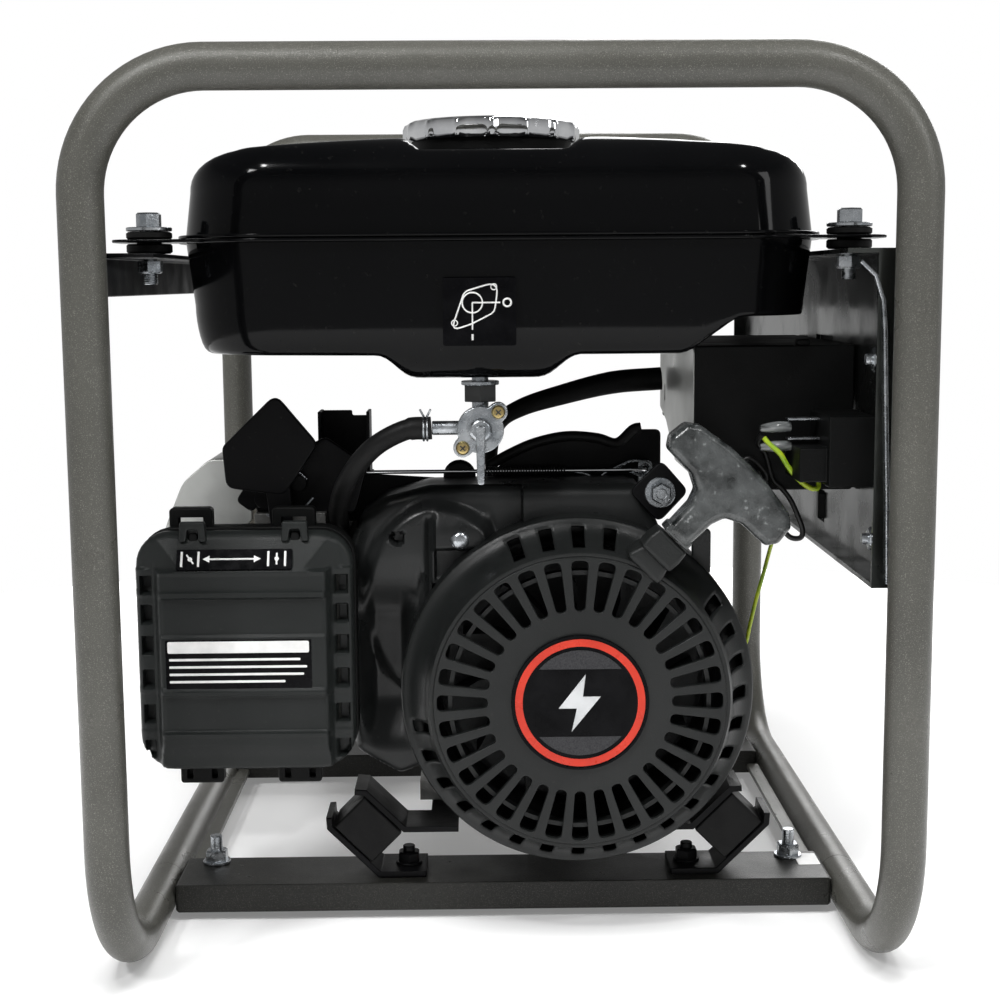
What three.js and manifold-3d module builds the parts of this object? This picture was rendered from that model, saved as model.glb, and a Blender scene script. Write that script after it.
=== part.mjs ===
// Open-frame portable generator with an 80 cc class engine, in millimetres, +Z up.
// The recoil starter end faces -Y and the control panel faces +X.
// The origin is on the ground, at the centre of the frame's footprint.
import * as THREE from "three";
import { mergeVertices } from "three/addons/utils/BufferGeometryUtils.js";
import Module from "manifold-3d";

const wasm = await Module();
wasm.setup();

// ---- Driving dimensions ----
const WIDTH = 360; // X, outside of the frame tubes
const LENGTH = 434; // Y
const HEIGHT = 405; // Z
const TUBE_R = 9.5; // 19 mm frame tube
const TOP_BEND_R = 51;
const BASE_BEND_R = 60;
const GAP = 0.35; // running gap between pieces that touch
const SHEET = 2; // pressed sheet metal

const TUBE_X = WIDTH / 2 - TUBE_R;
const HOOP_Y = LENGTH / 2 - TUBE_R;
const SPLICE_Y = -84; // where the front hoop's base legs meet the rear hoop's

const RAIL_TOP = 18.5; // cross rails, rectangular tube laid between the base legs
const RAIL_LOW = 4.5;
const RAIL_WIDE = 38;
const RAIL_HALF_X = TUBE_X - TUBE_R - 0.5;
const FRONT_RAIL_Y = -95;
const REAR_RAIL_Y = 123;

const CRANK_X = 35; // the crankshaft runs along Y
const CRANK_Z = 118;
const CYLINDER_TILT = THREE.MathUtils.degToRad(25); // above the horizontal, towards -X

const LEDGE_TOP = 322; // the ledges that carry the tank's ears
const SEAM_Z = 327; // underside of the tank's seam flange
const TANK_X = 142.5;
const TANK_FRONT = -165;
const TANK_BACK = 150;
const TANK_TOP = 373;
const FLANGE_T = 1.4;
const BOLT_X = 155;
const BOLT_YS = { front: -148, rear: 133 };
const CAP_X = -3;
const CAP_Y = -70;

const PANEL_OUT = 165; // outer face of the control panel
const PANEL_LOW = 178;
const PANEL_FRONT = -195; // also where the left ledge starts
const PANEL_BACK = 190;

const HANDLE_X = 102.5; // middle of the pull handle's grip
const HANDLE_Y = -150;
const HANDLE_Z = 218.7;

// ---- Materials ----
const paint = (color, roughness, metalness) =>
  new THREE.MeshStandardMaterial({ color, roughness, metalness });
const framePaint = paint(0x66655d, 0.45, 0.6);
const blackEnamel = paint(0x08090a, 0.12, 0.1);
const blackSteel = paint(0x141516, 0.5, 0.4);
const plastic = paint(0x2e3131, 0.55, 0);
const darkPlastic = paint(0x151616, 0.6, 0);
const rubber = paint(0x101010, 0.85, 0);
const aluminium = paint(0x8d8f8c, 0.45, 0.9);
const zinc = paint(0xb9bcbc, 0.35, 0.9);
const chrome = paint(0xd8dadb, 0.08, 1);
const steel = paint(0x9a9b9a, 0.35, 0.9);
const foam = paint(0x2b2b28, 0.95, 0);
const copper = paint(0x9a5a33, 0.4, 0.8);

// ---- Solids ----
const generator = new THREE.Group();
const vec = (x, y, z) => new THREE.Vector3(x, y, z);

// A closed geometry as a manifold-3d solid, turned right side out.
function solid(geometry) {
  const bare = geometry.index ? geometry.toNonIndexed() : geometry.clone();
  for (const name of ["normal", "uv"]) bare.deleteAttribute(name);
  const merged = mergeVertices(bare, 1e-4);
  const corners = merged.index.array;
  const faces = [];
  for (let i = 0; i < corners.length; i += 3) {
    const [a, b, c] = corners.slice(i, i + 3);
    if (a !== b && b !== c && c !== a) faces.push([a, b, c]);
  }
  const made = (list) =>
    new wasm.Manifold(
      new wasm.Mesh({
        numProp: 3,
        vertProperties: merged.attributes.position.array,
        triVerts: new Uint32Array(list.flat()),
      }),
    );
  const first = made(faces);
  return first.volume() > 0 ? first : made(faces.map(([a, b, c]) => [a, c, b]));
}

const joined = (...parts) => parts.reduce((whole, part) => whole.add(part));
const cut = (body, ...tools) => tools.reduce((left, tool) => left.subtract(tool), body);

// Puts a solid into the assembly as a named mesh.
function add(name, body, material) {
  const { vertProperties, triVerts } = body.getMesh();
  const geometry = new THREE.BufferGeometry();
  geometry.setAttribute("position", new THREE.BufferAttribute(new Float32Array(vertProperties), 3));
  geometry.setIndex(new THREE.BufferAttribute(new Uint32Array(triVerts), 1));
  geometry.computeVertexNormals();
  const mesh = new THREE.Mesh(geometry, material);
  mesh.name = name;
  generator.add(mesh);
}

// A box between two values on each axis.
function block([x0, x1], [y0, y1], [z0, z1]) {
  const geometry = new THREE.BoxGeometry(x1 - x0, y1 - y0, z1 - z0);
  return solid(geometry.translate((x0 + x1) / 2, (y0 + y1) / 2, (z0 + z1) / 2));
}

// A profile of [radius, distance] points turned round the line from origin along axis.
function turned(profile, origin, axis, sides = 32) {
  const points = profile.map(([r, d]) => new THREE.Vector2(r, d));
  const geometry = new THREE.LatheGeometry(points, sides);
  const turn = new THREE.Quaternion().setFromUnitVectors(vec(0, 1, 0), axis.clone().normalize());
  return solid(geometry.applyQuaternion(turn).translate(origin.x, origin.y, origin.z));
}

// A plain round bar between two points.
function bar(from, to, radius, sides = 20) {
  const along = to.clone().sub(from);
  const profile = [[0, 0], [radius, 0], [radius, along.length()], [0, along.length()]];
  return turned(profile, from, along, sides);
}

// A ring round the crankshaft's line, between two radii and two values of Y.
function crankRing(inner, outer, y0, y1, sides = 32) {
  const profile = [[inner, y0], [outer, y0], [outer, y1], [inner, y1], [inner, y0]];
  return turned(profile, vec(CRANK_X, 0, CRANK_Z), vec(0, 1, 0), sides);
}

const crankDisc = (radius, y0, y1, sides = 32) =>
  bar(vec(CRANK_X, y0, CRANK_Z), vec(CRANK_X, y1, CRANK_Z), radius, sides);

const outline = (points) => new THREE.Shape(points.map(([x, y]) => new THREE.Vector2(x, y)));

// An outline of [x, z] points with holes, as deep as y0 to y1.
function plateXZ(points, [y0, y1], holes = []) {
  const shape = outline(points);
  shape.holes = holes.map(outline);
  const geometry = new THREE.ExtrudeGeometry(shape, { depth: y1 - y0, bevelEnabled: false });
  return solid(geometry.rotateX(Math.PI / 2).translate(0, y1, 0));
}

// An outline of [x, y] points, as high as z0 to z1.
function plateXY(points, [z0, z1]) {
  const geometry = new THREE.ExtrudeGeometry(outline(points), { depth: z1 - z0, bevelEnabled: false });
  return solid(geometry.translate(0, 0, z0));
}

// An outline of [y, z] points, as wide as x0 to x1.
function plateYZ(points, [x0, x1]) {
  const geometry = new THREE.ExtrudeGeometry(outline(points), { depth: x1 - x0, bevelEnabled: false });
  const basis = new THREE.Matrix4().makeBasis(vec(0, 1, 0), vec(0, 0, 1), vec(1, 0, 0));
  return solid(geometry.applyMatrix4(basis).translate(x0, 0, 0));
}

// Points of an arc about [cx, cy], angles in degrees.
function arc(cx, cy, radius, from, to, steps) {
  return Array.from({ length: steps + 1 }, (_, i) => {
    const angle = THREE.MathUtils.degToRad(from + ((to - from) * i) / steps);
    return [cx + radius * Math.cos(angle), cy + radius * Math.sin(angle)];
  });
}

function roundedRect([x0, x1], [y0, y1], r, steps = 4) {
  return [
    ...arc(x1 - r, y0 + r, r, -90, 0, steps),
    ...arc(x1 - r, y1 - r, r, 0, 90, steps),
    ...arc(x0 + r, y1 - r, r, 90, 180, steps),
    ...arc(x0 + r, y0 + r, r, 180, 270, steps),
  ];
}

// The outline of a bent strip of sheet, from the points of its middle line.
function strip(points, thickness) {
  const side = (sign) =>
    points.map((p, i) => {
      const before = points[Math.max(i - 1, 0)];
      const after = points[Math.min(i + 1, points.length - 1)];
      const unit = (a, b) => {
        const d = new THREE.Vector2(b[0] - a[0], b[1] - a[1]);
        return d.length() ? d.normalize() : null;
      };
      const into = unit(before, p) ?? unit(p, after);
      const out = unit(p, after) ?? into;
      const normal = new THREE.Vector2(-into.y - out.y, into.x + out.x).normalize();
      const miter = thickness / 2 / (normal.x * -into.y + normal.y * into.x);
      return [p[0] + sign * miter * normal.x, p[1] + sign * miter * normal.y];
    });
  return [...side(1), ...side(-1).reverse()];
}

// A path whose steps fall on its own points.
class Route extends THREE.Curve {
  constructor(points) {
    super();
    this.points = points;
  }
  getPointAt(u) {
    const at = u * (this.points.length - 1);
    const i = Math.min(Math.floor(at), this.points.length - 2);
    return this.points[i].clone().lerp(this.points[i + 1], at - i);
  }
  getTangentAt(u) {
    const i = Math.round(u * (this.points.length - 1));
    const before = this.points[Math.max(i - 1, 0)];
    const after = this.points[Math.min(i + 1, this.points.length - 1)];
    return after.clone().sub(before).normalize();
  }
}

// Corner points joined by straights, with each inner corner bent to its own radius.
function bentPath(corners, radii, steps = 5) {
  const points = [corners[0]];
  for (let i = 1; i < corners.length - 1; i++) {
    const back = corners[i - 1].clone().sub(corners[i]).normalize();
    const on = corners[i + 1].clone().sub(corners[i]).normalize();
    const half = back.angleTo(on) / 2;
    const radius = radii[i - 1];
    const centre = corners[i].clone().add(back.clone().add(on).setLength(radius / Math.sin(half)));
    const start = corners[i].clone().addScaledVector(back, radius / Math.tan(half)).sub(centre);
    const axis = back.clone().cross(on).normalize();
    for (let k = 0; k <= steps; k++) {
      const turn = -((Math.PI - 2 * half) * k) / steps;
      points.push(start.clone().applyAxisAngle(axis, turn).add(centre));
    }
  }
  return [...points, corners.at(-1)];
}

function tube(points, radius, sides = 16) {
  const section = outline(arc(0, 0, radius, 0, 360 - 360 / sides, sides - 1));
  return solid(
    new THREE.ExtrudeGeometry(section, { steps: points.length - 1, extrudePath: new Route(points) }),
  );
}

// ---- Frame ----
// One hoop with its base legs, and the spigots that locate a cross rail.
function hoop(hoopY, legEnd, railY) {
  const topZ = HEIGHT - TUBE_R;
  const path = bentPath(
    [
      vec(-TUBE_X, legEnd, TUBE_R),
      vec(-TUBE_X, hoopY, TUBE_R),
      vec(-TUBE_X, hoopY, topZ),
      vec(TUBE_X, hoopY, topZ),
      vec(TUBE_X, hoopY, TUBE_R),
      vec(TUBE_X, legEnd, TUBE_R),
    ],
    [BASE_BEND_R, TOP_BEND_R, TOP_BEND_R, BASE_BEND_R],
  );
  const spigot = (sign) => {
    const reach = [sign * (TUBE_X - 4), sign * (TUBE_X - 40)].sort((a, b) => a - b);
    return block(reach, [railY - 10, railY + 10], [9, 12]);
  };
  return joined(tube(path, TUBE_R), spigot(-1), spigot(1));
}

function crossRail(y) {
  const outer = block([-RAIL_HALF_X, RAIL_HALF_X], [y - RAIL_WIDE / 2, y + RAIL_WIDE / 2], [RAIL_LOW, RAIL_TOP]);
  const bore = block(
    [-RAIL_HALF_X - 1, RAIL_HALF_X + 1],
    [y - RAIL_WIDE / 2 + SHEET, y + RAIL_WIDE / 2 - SHEET],
    [RAIL_LOW + SHEET, RAIL_TOP - SHEET],
  );
  return cut(outer, bore);
}

function boltHoles(sign) {
  return Object.values(BOLT_YS).map((y) => bar(vec(sign * BOLT_X, y, 300), vec(sign * BOLT_X, y, 335), 3.4, 12));
}

function tankLedge() {
  const webX = -166;
  const end = -PANEL_FRONT;
  const web = block([webX, webX + SHEET], [-end, end], [304, LEDGE_TOP]);
  const flange = block([webX, -144], [-end, end], [LEDGE_TOP - SHEET, LEDGE_TOP]);
  return cut(joined(web, flange), ...boltHoles(-1));
}

// The devices that pass through the panel, each as [y, z, half width, half height] of its hole.
const SOCKET = { y: -62, z: 262, half: 19 };
const SWITCH = { y: -62, z: 196, half: 7.5 };
const BREAKER = { y: -155, z: 234, r: 4.2 };

function controlPanel() {
  const y = [PANEL_FRONT, PANEL_BACK];
  const z = [PANEL_LOW, LEDGE_TOP];
  const inner = PANEL_OUT - SHEET;
  const face = block([inner, PANEL_OUT], y, z);
  const ledge = block([144, PANEL_OUT], y, [LEDGE_TOP - SHEET, LEDGE_TOP]);
  const lips = [
    block([157, PANEL_OUT], y, [PANEL_LOW, PANEL_LOW + SHEET]),
    block([157, PANEL_OUT], [PANEL_FRONT, PANEL_FRONT + SHEET], z),
    block([157, PANEL_OUT], [PANEL_BACK - SHEET, PANEL_BACK], z),
  ];
  const through = [PANEL_OUT - 10, PANEL_OUT + 5];
  const square = ({ y: cy, z: cz, half }) =>
    block(through, [cy - half - 0.5, cy + half + 0.5], [cz - half - 0.5, cz + half + 0.5]);
  const button = bar(vec(through[0], BREAKER.y, BREAKER.z), vec(through[1], BREAKER.y, BREAKER.z), 5.2, 16);
  return cut(joined(face, ledge, ...lips), ...boltHoles(1), square(SOCKET), square(SWITCH), button);
}

add("front_hoop", hoop(-HOOP_Y, SPLICE_Y, FRONT_RAIL_Y), framePaint);
add("rear_hoop", hoop(HOOP_Y, SPLICE_Y + GAP, REAR_RAIL_Y), framePaint);
add("front_cross_rail", crossRail(FRONT_RAIL_Y), framePaint);
add("rear_cross_rail", crossRail(REAR_RAIL_Y), framePaint);
add("left_tank_ledge", tankLedge(), blackSteel);
add("control_panel", controlPanel(), steel);

// ---- Fuel tank ----
const tankPlan = (grow) =>
  roundedRect([-TANK_X - grow, TANK_X + grow], [TANK_FRONT - grow, TANK_BACK + grow], 42 + grow, 5);

// The space under a crown drawn as an [x, z] outline and a [y, z] outline, rounded in plan.
function pressing(acrossX, alongY, zRange, grow) {
  const reach = 200;
  return plateXZ(acrossX, [-reach, reach])
    .intersect(plateYZ(alongY, [-reach, reach]))
    .intersect(plateXY(tankPlan(grow), zRange));
}

const up = vec(0, 0, 1);

// A round bar at each of the tank's four bolts.
const bushSites = (radius, [z0, z1]) =>
  [-1, 1].flatMap((sign) =>
    Object.values(BOLT_YS).map((y) => bar(vec(sign * BOLT_X, y, z0), vec(sign * BOLT_X, y, z1), radius, 14)),
  );

const fillerNeck = turned(
  [[30, 364.5], [34.4, 364.5], [34.4, 366], [38, 366], [38, 368.6], [33.4, 368.6], [33.4, 376], [30, 376], [30, 364.5]],
  vec(CAP_X, CAP_Y, 0), up, 28,
);

function upperShell() {
  const base = SEAM_Z + FLANGE_T + GAP;
  const crownX = (x, top) => [
    [-x, base - 9], [x, base - 9], [x, base], [x - 2, base + 17], [x - 7, top - 14], [x - 17, top - 7],
    [x - 40, top - 3], [x - 95, top], [95 - x, top], [40 - x, top - 3], [17 - x, top - 7], [7 - x, top - 14],
    [2 - x, base + 17], [-x, base],
  ];
  const crownY = (grow, top) => {
    const [a, b] = [TANK_FRONT - grow, TANK_BACK + grow];
    return [
      [a, base - 9], [b, base - 9], [b, base], [b - 2, base + 17], [b - 8, top - 12], [b - 17, top - 4],
      [b - 28, top], [a + 28, top], [a + 17, top - 4], [a + 8, top - 12], [a + 2, base + 17], [a, base],
    ];
  };
  const outer = pressing(crownX(TANK_X, TANK_TOP), crownY(0, TANK_TOP), [base, 400], 0);
  const flange = cut(plateXY(tankPlan(3.5), [base, base + FLANGE_T]), ...bushSites(11, [320, 340]));
  const floor = 367;
  const well = bar(vec(CAP_X, CAP_Y, floor), vec(CAP_X, CAP_Y, 400), 50, 28);
  const spillWay = block([CAP_X - 34, CAP_X + 34], [TANK_FRONT - 10, CAP_Y], [floor, 400]);
  const hollow = cut(
    pressing(crownX(TANK_X - 2, TANK_TOP - 2), crownY(-2, TANK_TOP - 2), [base - 1, 400], -2),
    bar(vec(CAP_X, CAP_Y, floor - 2), vec(CAP_X, CAP_Y, 400), 52, 28),
    block([CAP_X - 36, CAP_X + 36], [TANK_FRONT - 10, CAP_Y], [floor - 2, 400]),
  );
  const mouth = bar(vec(CAP_X, CAP_Y, 340), vec(CAP_X, CAP_Y, 380), 33.8, 24);
  return joined(cut(joined(outer, flange), well, spillWay, hollow, mouth), fillerNeck);
}

function lowerShell() {
  const top = SEAM_Z + FLANGE_T;
  const belly = (t) => [
    [-TANK_X + t, top + 1], [-138 + t, 300], [-133 + t, 285], [-126 + t, 278.5 + t], [-52, 277 + t],
    [-40, 265 + t], [19, 265 + t], [32, 277 + t], [82, 277 + t], [104, 293 + t], [131 - t, 293.5 + t],
    [138 - t, 300 + t], [TANK_X - t, top + 1],
  ];
  const keel = (t) => [
    [TANK_FRONT + t, top + 1], [TANK_FRONT + 3 + t, 300], [TANK_FRONT + 9 + t, 275], [TANK_FRONT + 18 + t, 265 + t],
    [TANK_BACK - 18 - t, 265 + t], [TANK_BACK - 9 - t, 275], [TANK_BACK - 3 - t, 300], [TANK_BACK - t, top + 1],
  ];
  const outer = pressing(belly(0), keel(0), [250, top], 0);
  const hollow = pressing(belly(2), keel(2), [250, top + 1], -2);
  const flange = plateXY(tankPlan(3.5), [SEAM_Z, top]);
  const ears = [-1, 1].flatMap((sign) =>
    Object.values(BOLT_YS).map((y) => {
      const x = [sign * 120, sign * 170].sort((a, b) => a - b);
      return plateXY(roundedRect(x, [y - 15, y + 15], 9, 3), [SEAM_Z, top]);
    }),
  );
  const drain = bar(vec(-9.5, -140, 255), vec(-9.5, -140, 290), 4, 12);
  return cut(joined(outer, flange, ...ears), hollow, drain, ...bushSites(6, [320, 335]));
}

function fuelCap() {
  const flutes = 14;
  const rim = Array.from({ length: flutes * 4 }, (_, i) => {
    const angle = (i * Math.PI * 2) / (flutes * 4);
    const r = [43, 43, 40.8, 40.8][i % 4];
    return [CAP_X + r * Math.cos(angle), CAP_Y + r * Math.sin(angle)];
  });
  const skirt = turned(
    [[34.2, 371], [38.5, 371], [38.5, 379], [34.2, 379], [34.2, 371]], vec(CAP_X, CAP_Y, 0), up, 28,
  );
  const crown = turned([[0, 386], [40, 386], [37, 388.5], [0, 388.5]], vec(CAP_X, CAP_Y, 0), up, 28);
  return joined(plateXY(rim, [378.6, 387]), skirt, crown);
}

const capGasket = turned(
  [[27, 376.4], [33, 376.4], [33, 378.2], [27, 378.2], [27, 376.4]], vec(CAP_X, CAP_Y, 0), up, 24,
);

add("tank_upper_shell", upperShell(), blackEnamel);
add("tank_lower_shell", lowerShell(), blackEnamel);
add("fuel_cap", fuelCap(), chrome);
add("cap_gasket", capGasket, rubber);

// A rubber bush through a tank ear, and the bolt that clamps it to the ledge.
function tankBush(x, y) {
  const [low, high] = [LEDGE_TOP + GAP, 332];
  const [under, over] = [SEAM_Z - GAP, SEAM_Z + FLANGE_T + GAP];
  const profile = [
    [3.5, low], [10, low], [10, under], [5.4, under], [5.4, over], [10, over], [10, high], [3.5, high], [3.5, low],
  ];
  return turned(profile, vec(x, y, 0), up, 12);
}

function tankBolt(x, y) {
  const washer = bar(vec(x, y, 332.4), vec(x, y, 334), 10, 14);
  const head = bar(vec(x, y, 333.5), vec(x, y, 340.5), 5.8, 6);
  const shank = bar(vec(x, y, 309), vec(x, y, 334), 3, 8);
  const nut = bar(vec(x, y, 313.5), vec(x, y, LEDGE_TOP - SHEET - GAP), 5.8, 6);
  return joined(washer, head, shank, nut);
}

for (const [side, sign] of [["left", -1], ["right", 1]]) {
  for (const [end, y] of Object.entries(BOLT_YS)) {
    add(`tank_bush_${end}_${side}`, tankBush(sign * BOLT_X, y), rubber);
    add(`tank_bolt_${end}_${side}`, tankBolt(sign * BOLT_X, y), zinc);
  }
}

// ---- Fuel valve and hose ----
const VALVE = { x: -9.5, y: -140, z: 243.5 };

function valveBody() {
  const { x, y, z } = VALVE;
  const front = y - 13;
  const stem = bar(vec(x, y, z), vec(x, y, 272), 3.6, 14);
  const nut = bar(vec(x, y, 255.5), vec(x, y, 264.6), 8, 6);
  const barrel = bar(vec(x, front + 2, z), vec(x, y + 8, z), 9, 20);
  const disc = bar(vec(x, front, z), vec(x, front + 3, z), 10.5, 24);
  const lobe = (dx, dz) => bar(vec(x + dx, front, z + dz), vec(x + dx, front + 3, z + dz), 4.2, 14);
  const bridge = plateXZ(strip([[x - 8, z - 8], [x + 8, z + 8]], 8.4), [front, front + 3]);
  const barb = bar(vec(x, y, z), vec(x - 22, y, z), 3.2, 12);
  return joined(stem, nut, barrel, disc, lobe(-8, -8), lobe(8, 8), bridge, barb);
}

function valveLever() {
  const { x, y, z } = VALVE;
  const back = y - 13 - GAP;
  const hub = bar(vec(x, back - 4, z), vec(x, back, z), 5.2, 18);
  const blade = block([x - 1.7, x + 1.7], [back - 6.5, back - 2.5], [z - 24, z + 2]);
  return joined(hub, blade);
}

// The hose leaves the valve to the left, turns down and back, and ends at the carburettor's inlet.
const HOSE_R = 4.8;
const hosePath = new THREE.CatmullRomCurve3([
  vec(-32, -140, 243.5), vec(-44, -140, 242.5), vec(-59, -137, 234), vec(-71, -129, 219), vec(-77, -113, 204),
  vec(-78, -98, 193), vec(-78.5, -84, 184),
]).getSpacedPoints(18);

add("fuel_valve", valveBody(), zinc);
add("fuel_valve_lever", valveLever(), zinc);
add("fuel_hose", tube(hosePath, HOSE_R, 12), rubber);

// ---- Engine block ----
const along = vec(-Math.cos(CYLINDER_TILT), 0, Math.sin(CYLINDER_TILT)); // from the crankshaft to the head
const across = vec(Math.sin(CYLINDER_TILT), 0, Math.cos(CYLINDER_TILT));
const CYLINDER_Y = -28;
const BLOCK_FRONT = -73.5;
const BLOCK_BACK = 18;

// A slab across the cylinder's axis: distances from the crankshaft, half height, Y range.
function slab([d0, d1], half, [y0, y1]) {
  const corner = (d, h) => {
    const p = vec(CRANK_X, 0, CRANK_Z).addScaledVector(along, d).addScaledVector(across, h);
    return [p.x, p.z];
  };
  return plateXZ([corner(d0, -half), corner(d1, -half), corner(d1, half), corner(d0, half)], [y0, y1]);
}

function cylinderPoint(d) {
  return vec(CRANK_X, CYLINDER_Y, CRANK_Z).addScaledVector(along, d);
}

function crankcase() {
  const shell = plateXZ(
    [[-14, 58], [0, 48], [82, 48], [98, 66], [98, 150], [84, 180], [20, 185], [-14, 176]], [BLOCK_FRONT, BLOCK_BACK],
  );
  const foot = block([-42, 106], [-70, 0], [46, 56]);
  const barrel = bar(cylinderPoint(40), cylinderPoint(104), 33, 18);
  const fins = [66, 77, 88, 99].map((d) => slab([d, d + 2.5], 39, [CYLINDER_Y - 42, CYLINDER_Y + 42]));
  const bore = bar(cylinderPoint(20), cylinderPoint(110), 26, 18);
  const chamber = crankDisc(37, BLOCK_FRONT + 14, BLOCK_BACK + 5, 24);
  const shaftHole = crankDisc(13, BLOCK_FRONT - 5, BLOCK_BACK, 20);
  const filler = bar(vec(80, -30, 66), vec(108, -30, 94), 12, 16);
  return cut(joined(shell, foot, barrel, ...fins, filler), bore, chamber, shaftHole);
}

function cylinderHead() {
  const deck = slab([104.4, 124], 37, [CYLINDER_Y - 41, CYLINDER_Y + 41]);
  const fins = [126, 132].map((d) => slab([d - 3, d], 37, [CYLINDER_Y - 41, CYLINDER_Y + 41]));
  const core = slab([104.4, 133], 30, [CYLINDER_Y - 34, CYLINDER_Y + 34]);
  const exhaust = block([-98, -70], [CYLINDER_Y + 38, 23.6], [150, 178]);
  return joined(core, deck, ...fins, exhaust);
}

const valveCover = joined(
  slab([133.4, 137], 33, [CYLINDER_Y - 36, CYLINDER_Y + 36]),
  slab([136, 150], 27, [CYLINDER_Y - 30, CYLINDER_Y + 30]),
);

add("crankcase", crankcase(), aluminium);
add("cylinder_head", cylinderHead(), aluminium);
add("valve_cover", valveCover, blackSteel);
add("crankcase_cover", crankRing(13, 63, BLOCK_BACK + GAP, 29.6), aluminium);

const fillerAxis = vec(1, 0, 1).normalize();
const fillerSeat = vec(108, -30, 94).addScaledVector(fillerAxis, GAP);
const fillerGrip = fillerSeat.clone().addScaledVector(fillerAxis, 12);
add("oil_filler_cap", bar(fillerSeat, fillerGrip, 10.5, 12), darkPlastic);

// ---- Shaft line: crankshaft, flywheel with fan, alternator ----
function crankshaft() {
  const line = turned(
    [[0, -132], [8, -132], [8, -80], [12.6, -80], [12.6, 22], [11, 22], [11, 158], [0, 158]],
    vec(CRANK_X, 0, CRANK_Z), vec(0, 1, 0), 20,
  );
  const webs = [[-52, -40], [-16, -4]].map(([y0, y1]) => crankDisc(35, y0, y1, 28));
  const pin = bar(vec(CRANK_X, -45, CRANK_Z + 21), vec(CRANK_X, -10, CRANK_Z + 21), 9, 16);
  return joined(line, ...webs, pin);
}

function flywheelFan() {
  const disc = crankRing(8.4, 62, -94, -84, 28);
  const hub = crankRing(8.4, 24, -116, -90, 20);
  const cup = crankRing(8.4, 27, -134, -115, 20);
  const blades = Array.from({ length: 12 }, (_, i) =>
    plateXZ(strip([[33, -3], [46, 0], [58, 7]], 2.4), [-114, -91])
      .rotate([0, (i * 360) / 12, 0])
      .translate([CRANK_X, 0, CRANK_Z]),
  );
  return joined(disc, hub, cup, ...blades);
}

function endBell() {
  const wall = crankRing(54, 62, 105.4, 160);
  const back = crankRing(15, 62, 156, 163);
  const foot = block([12, 58], [REAR_RAIL_Y - 14, REAR_RAIL_Y + 14], [46, 62]);
  const vents = Array.from({ length: 6 }, (_, i) => {
    const angle = THREE.MathUtils.degToRad(i * 60 + 30);
    const at = (r, y) => vec(CRANK_X + r * Math.cos(angle), y, CRANK_Z + r * Math.sin(angle));
    return bar(at(35, 150), at(35, 170), 8, 8);
  });
  return cut(joined(wall, back, foot), ...vents, crankDisc(53.9, 104, 156));
}

add("crankshaft", crankshaft(), steel);
add("flywheel_fan", flywheelFan(), aluminium);
add("alternator_rotor", crankRing(11.4, 39.2, 34, 101), copper);
add("alternator_stator", crankRing(40, 62, 30, 105), steel);
add("alternator_end_bell", endBell(), aluminium);

// ---- Fan housing and recoil starter ----
function fanHousing() {
  const scroll = (t) => [
    [-72 + t, 84], [-72 + t, 190], [-67 + t, 201 - t], [-56, 208 - t], [-30, 214 - t], [66 - t, 214 - t],
    ...arc(CRANK_X, CRANK_Z, 83 - t, 60, -150, 20), [-50, 71 + t],
  ];
  const outer = plateXZ(scroll(0), [-119.6, -78]);
  const hollow = plateXZ(scroll(2), [-117.6, -70]);
  const inlet = crankDisc(66, -125, -110);
  return cut(outer, hollow, inlet);
}

const SLOTS = 32;
// One slot outline of the recoil cover, wider at its outer end.
function coverSlot(i) {
  const turn = (i * 2 * Math.PI) / SLOTS;
  const ends = [...arc(44.3, 0, 2.7, 90, 270, 2), ...arc(62.4, 0, 3.9, -90, 90, 2)];
  return ends.map(([r, s]) => [
    CRANK_X + r * Math.cos(turn) - s * Math.sin(turn),
    CRANK_Z + r * Math.sin(turn) + s * Math.cos(turn),
  ]);
}

const pull = vec(Math.SQRT1_2, 0, Math.SQRT1_2); // along the handle's stem
const grip = vec(Math.SQRT1_2, 0, -Math.SQRT1_2); // along its grip
const handlePoint = (p, g) => vec(HANDLE_X, 0, HANDLE_Z).addScaledVector(pull, p).addScaledVector(grip, g);
const handleOutline = (list) =>
  list.map(([p, g]) => {
    const at = handlePoint(p, g);
    return [at.x, at.z];
  });

function recoilCover() {
  const slots = Array.from({ length: SLOTS }, (_, i) => coverSlot(i));
  const face = plateXZ(arc(CRANK_X, CRANK_Z, 68.5, 0, 351, 39), [-152, -149.4], slots);
  const wall = turned(
    [[66.3, -150], [68.4, -151], [73, -146], [78, -132], [78, -120], [75.4, -120], [75.4, -131], [71, -143], [66.3, -150]],
    vec(CRANK_X, 0, CRANK_Z), vec(0, 1, 0), 40,
  );
  const boss = plateXZ(handleOutline([[-36, -8.5], [-36, 8.5], [-52, 8.5], [-52, -8.5]]), [-158, -141]);
  const rope = bar(
    handlePoint(-30, 0).setY(HANDLE_Y), handlePoint(-60, 0).setY(HANDLE_Y), 3, 12,
  );
  return cut(joined(face, wall, boss), rope, crankDisc(66, -149.3, -110));
}

function pullHandle() {
  const bow = [
    ...handleOutline([[-9, -30], [-2, -34], [6, -32], [9.5, -26], [11, 0], [9.5, 26], [6, 32], [-2, 34], [-9, 30]]),
  ];
  const stem = handleOutline([[-9, -13], [-16, -6.5], [-35.4, -6.5], [-35.4, 6.5], [-16, 6.5], [-9, 13]]);
  const body = joined(
    plateXZ([...bow, ...stem.reverse()], [HANDLE_Y - 9, HANDLE_Y + 9]),
  );
  const ropeWay = bar(handlePoint(-40, 0).setY(HANDLE_Y), handlePoint(6, 0).setY(HANDLE_Y), 2.4, 12);
  return cut(body, ropeWay);
}

const pullRope = bar(handlePoint(-35.2, 0).setY(HANDLE_Y), handlePoint(5.6, 0).setY(HANDLE_Y), 2, 10);

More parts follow.
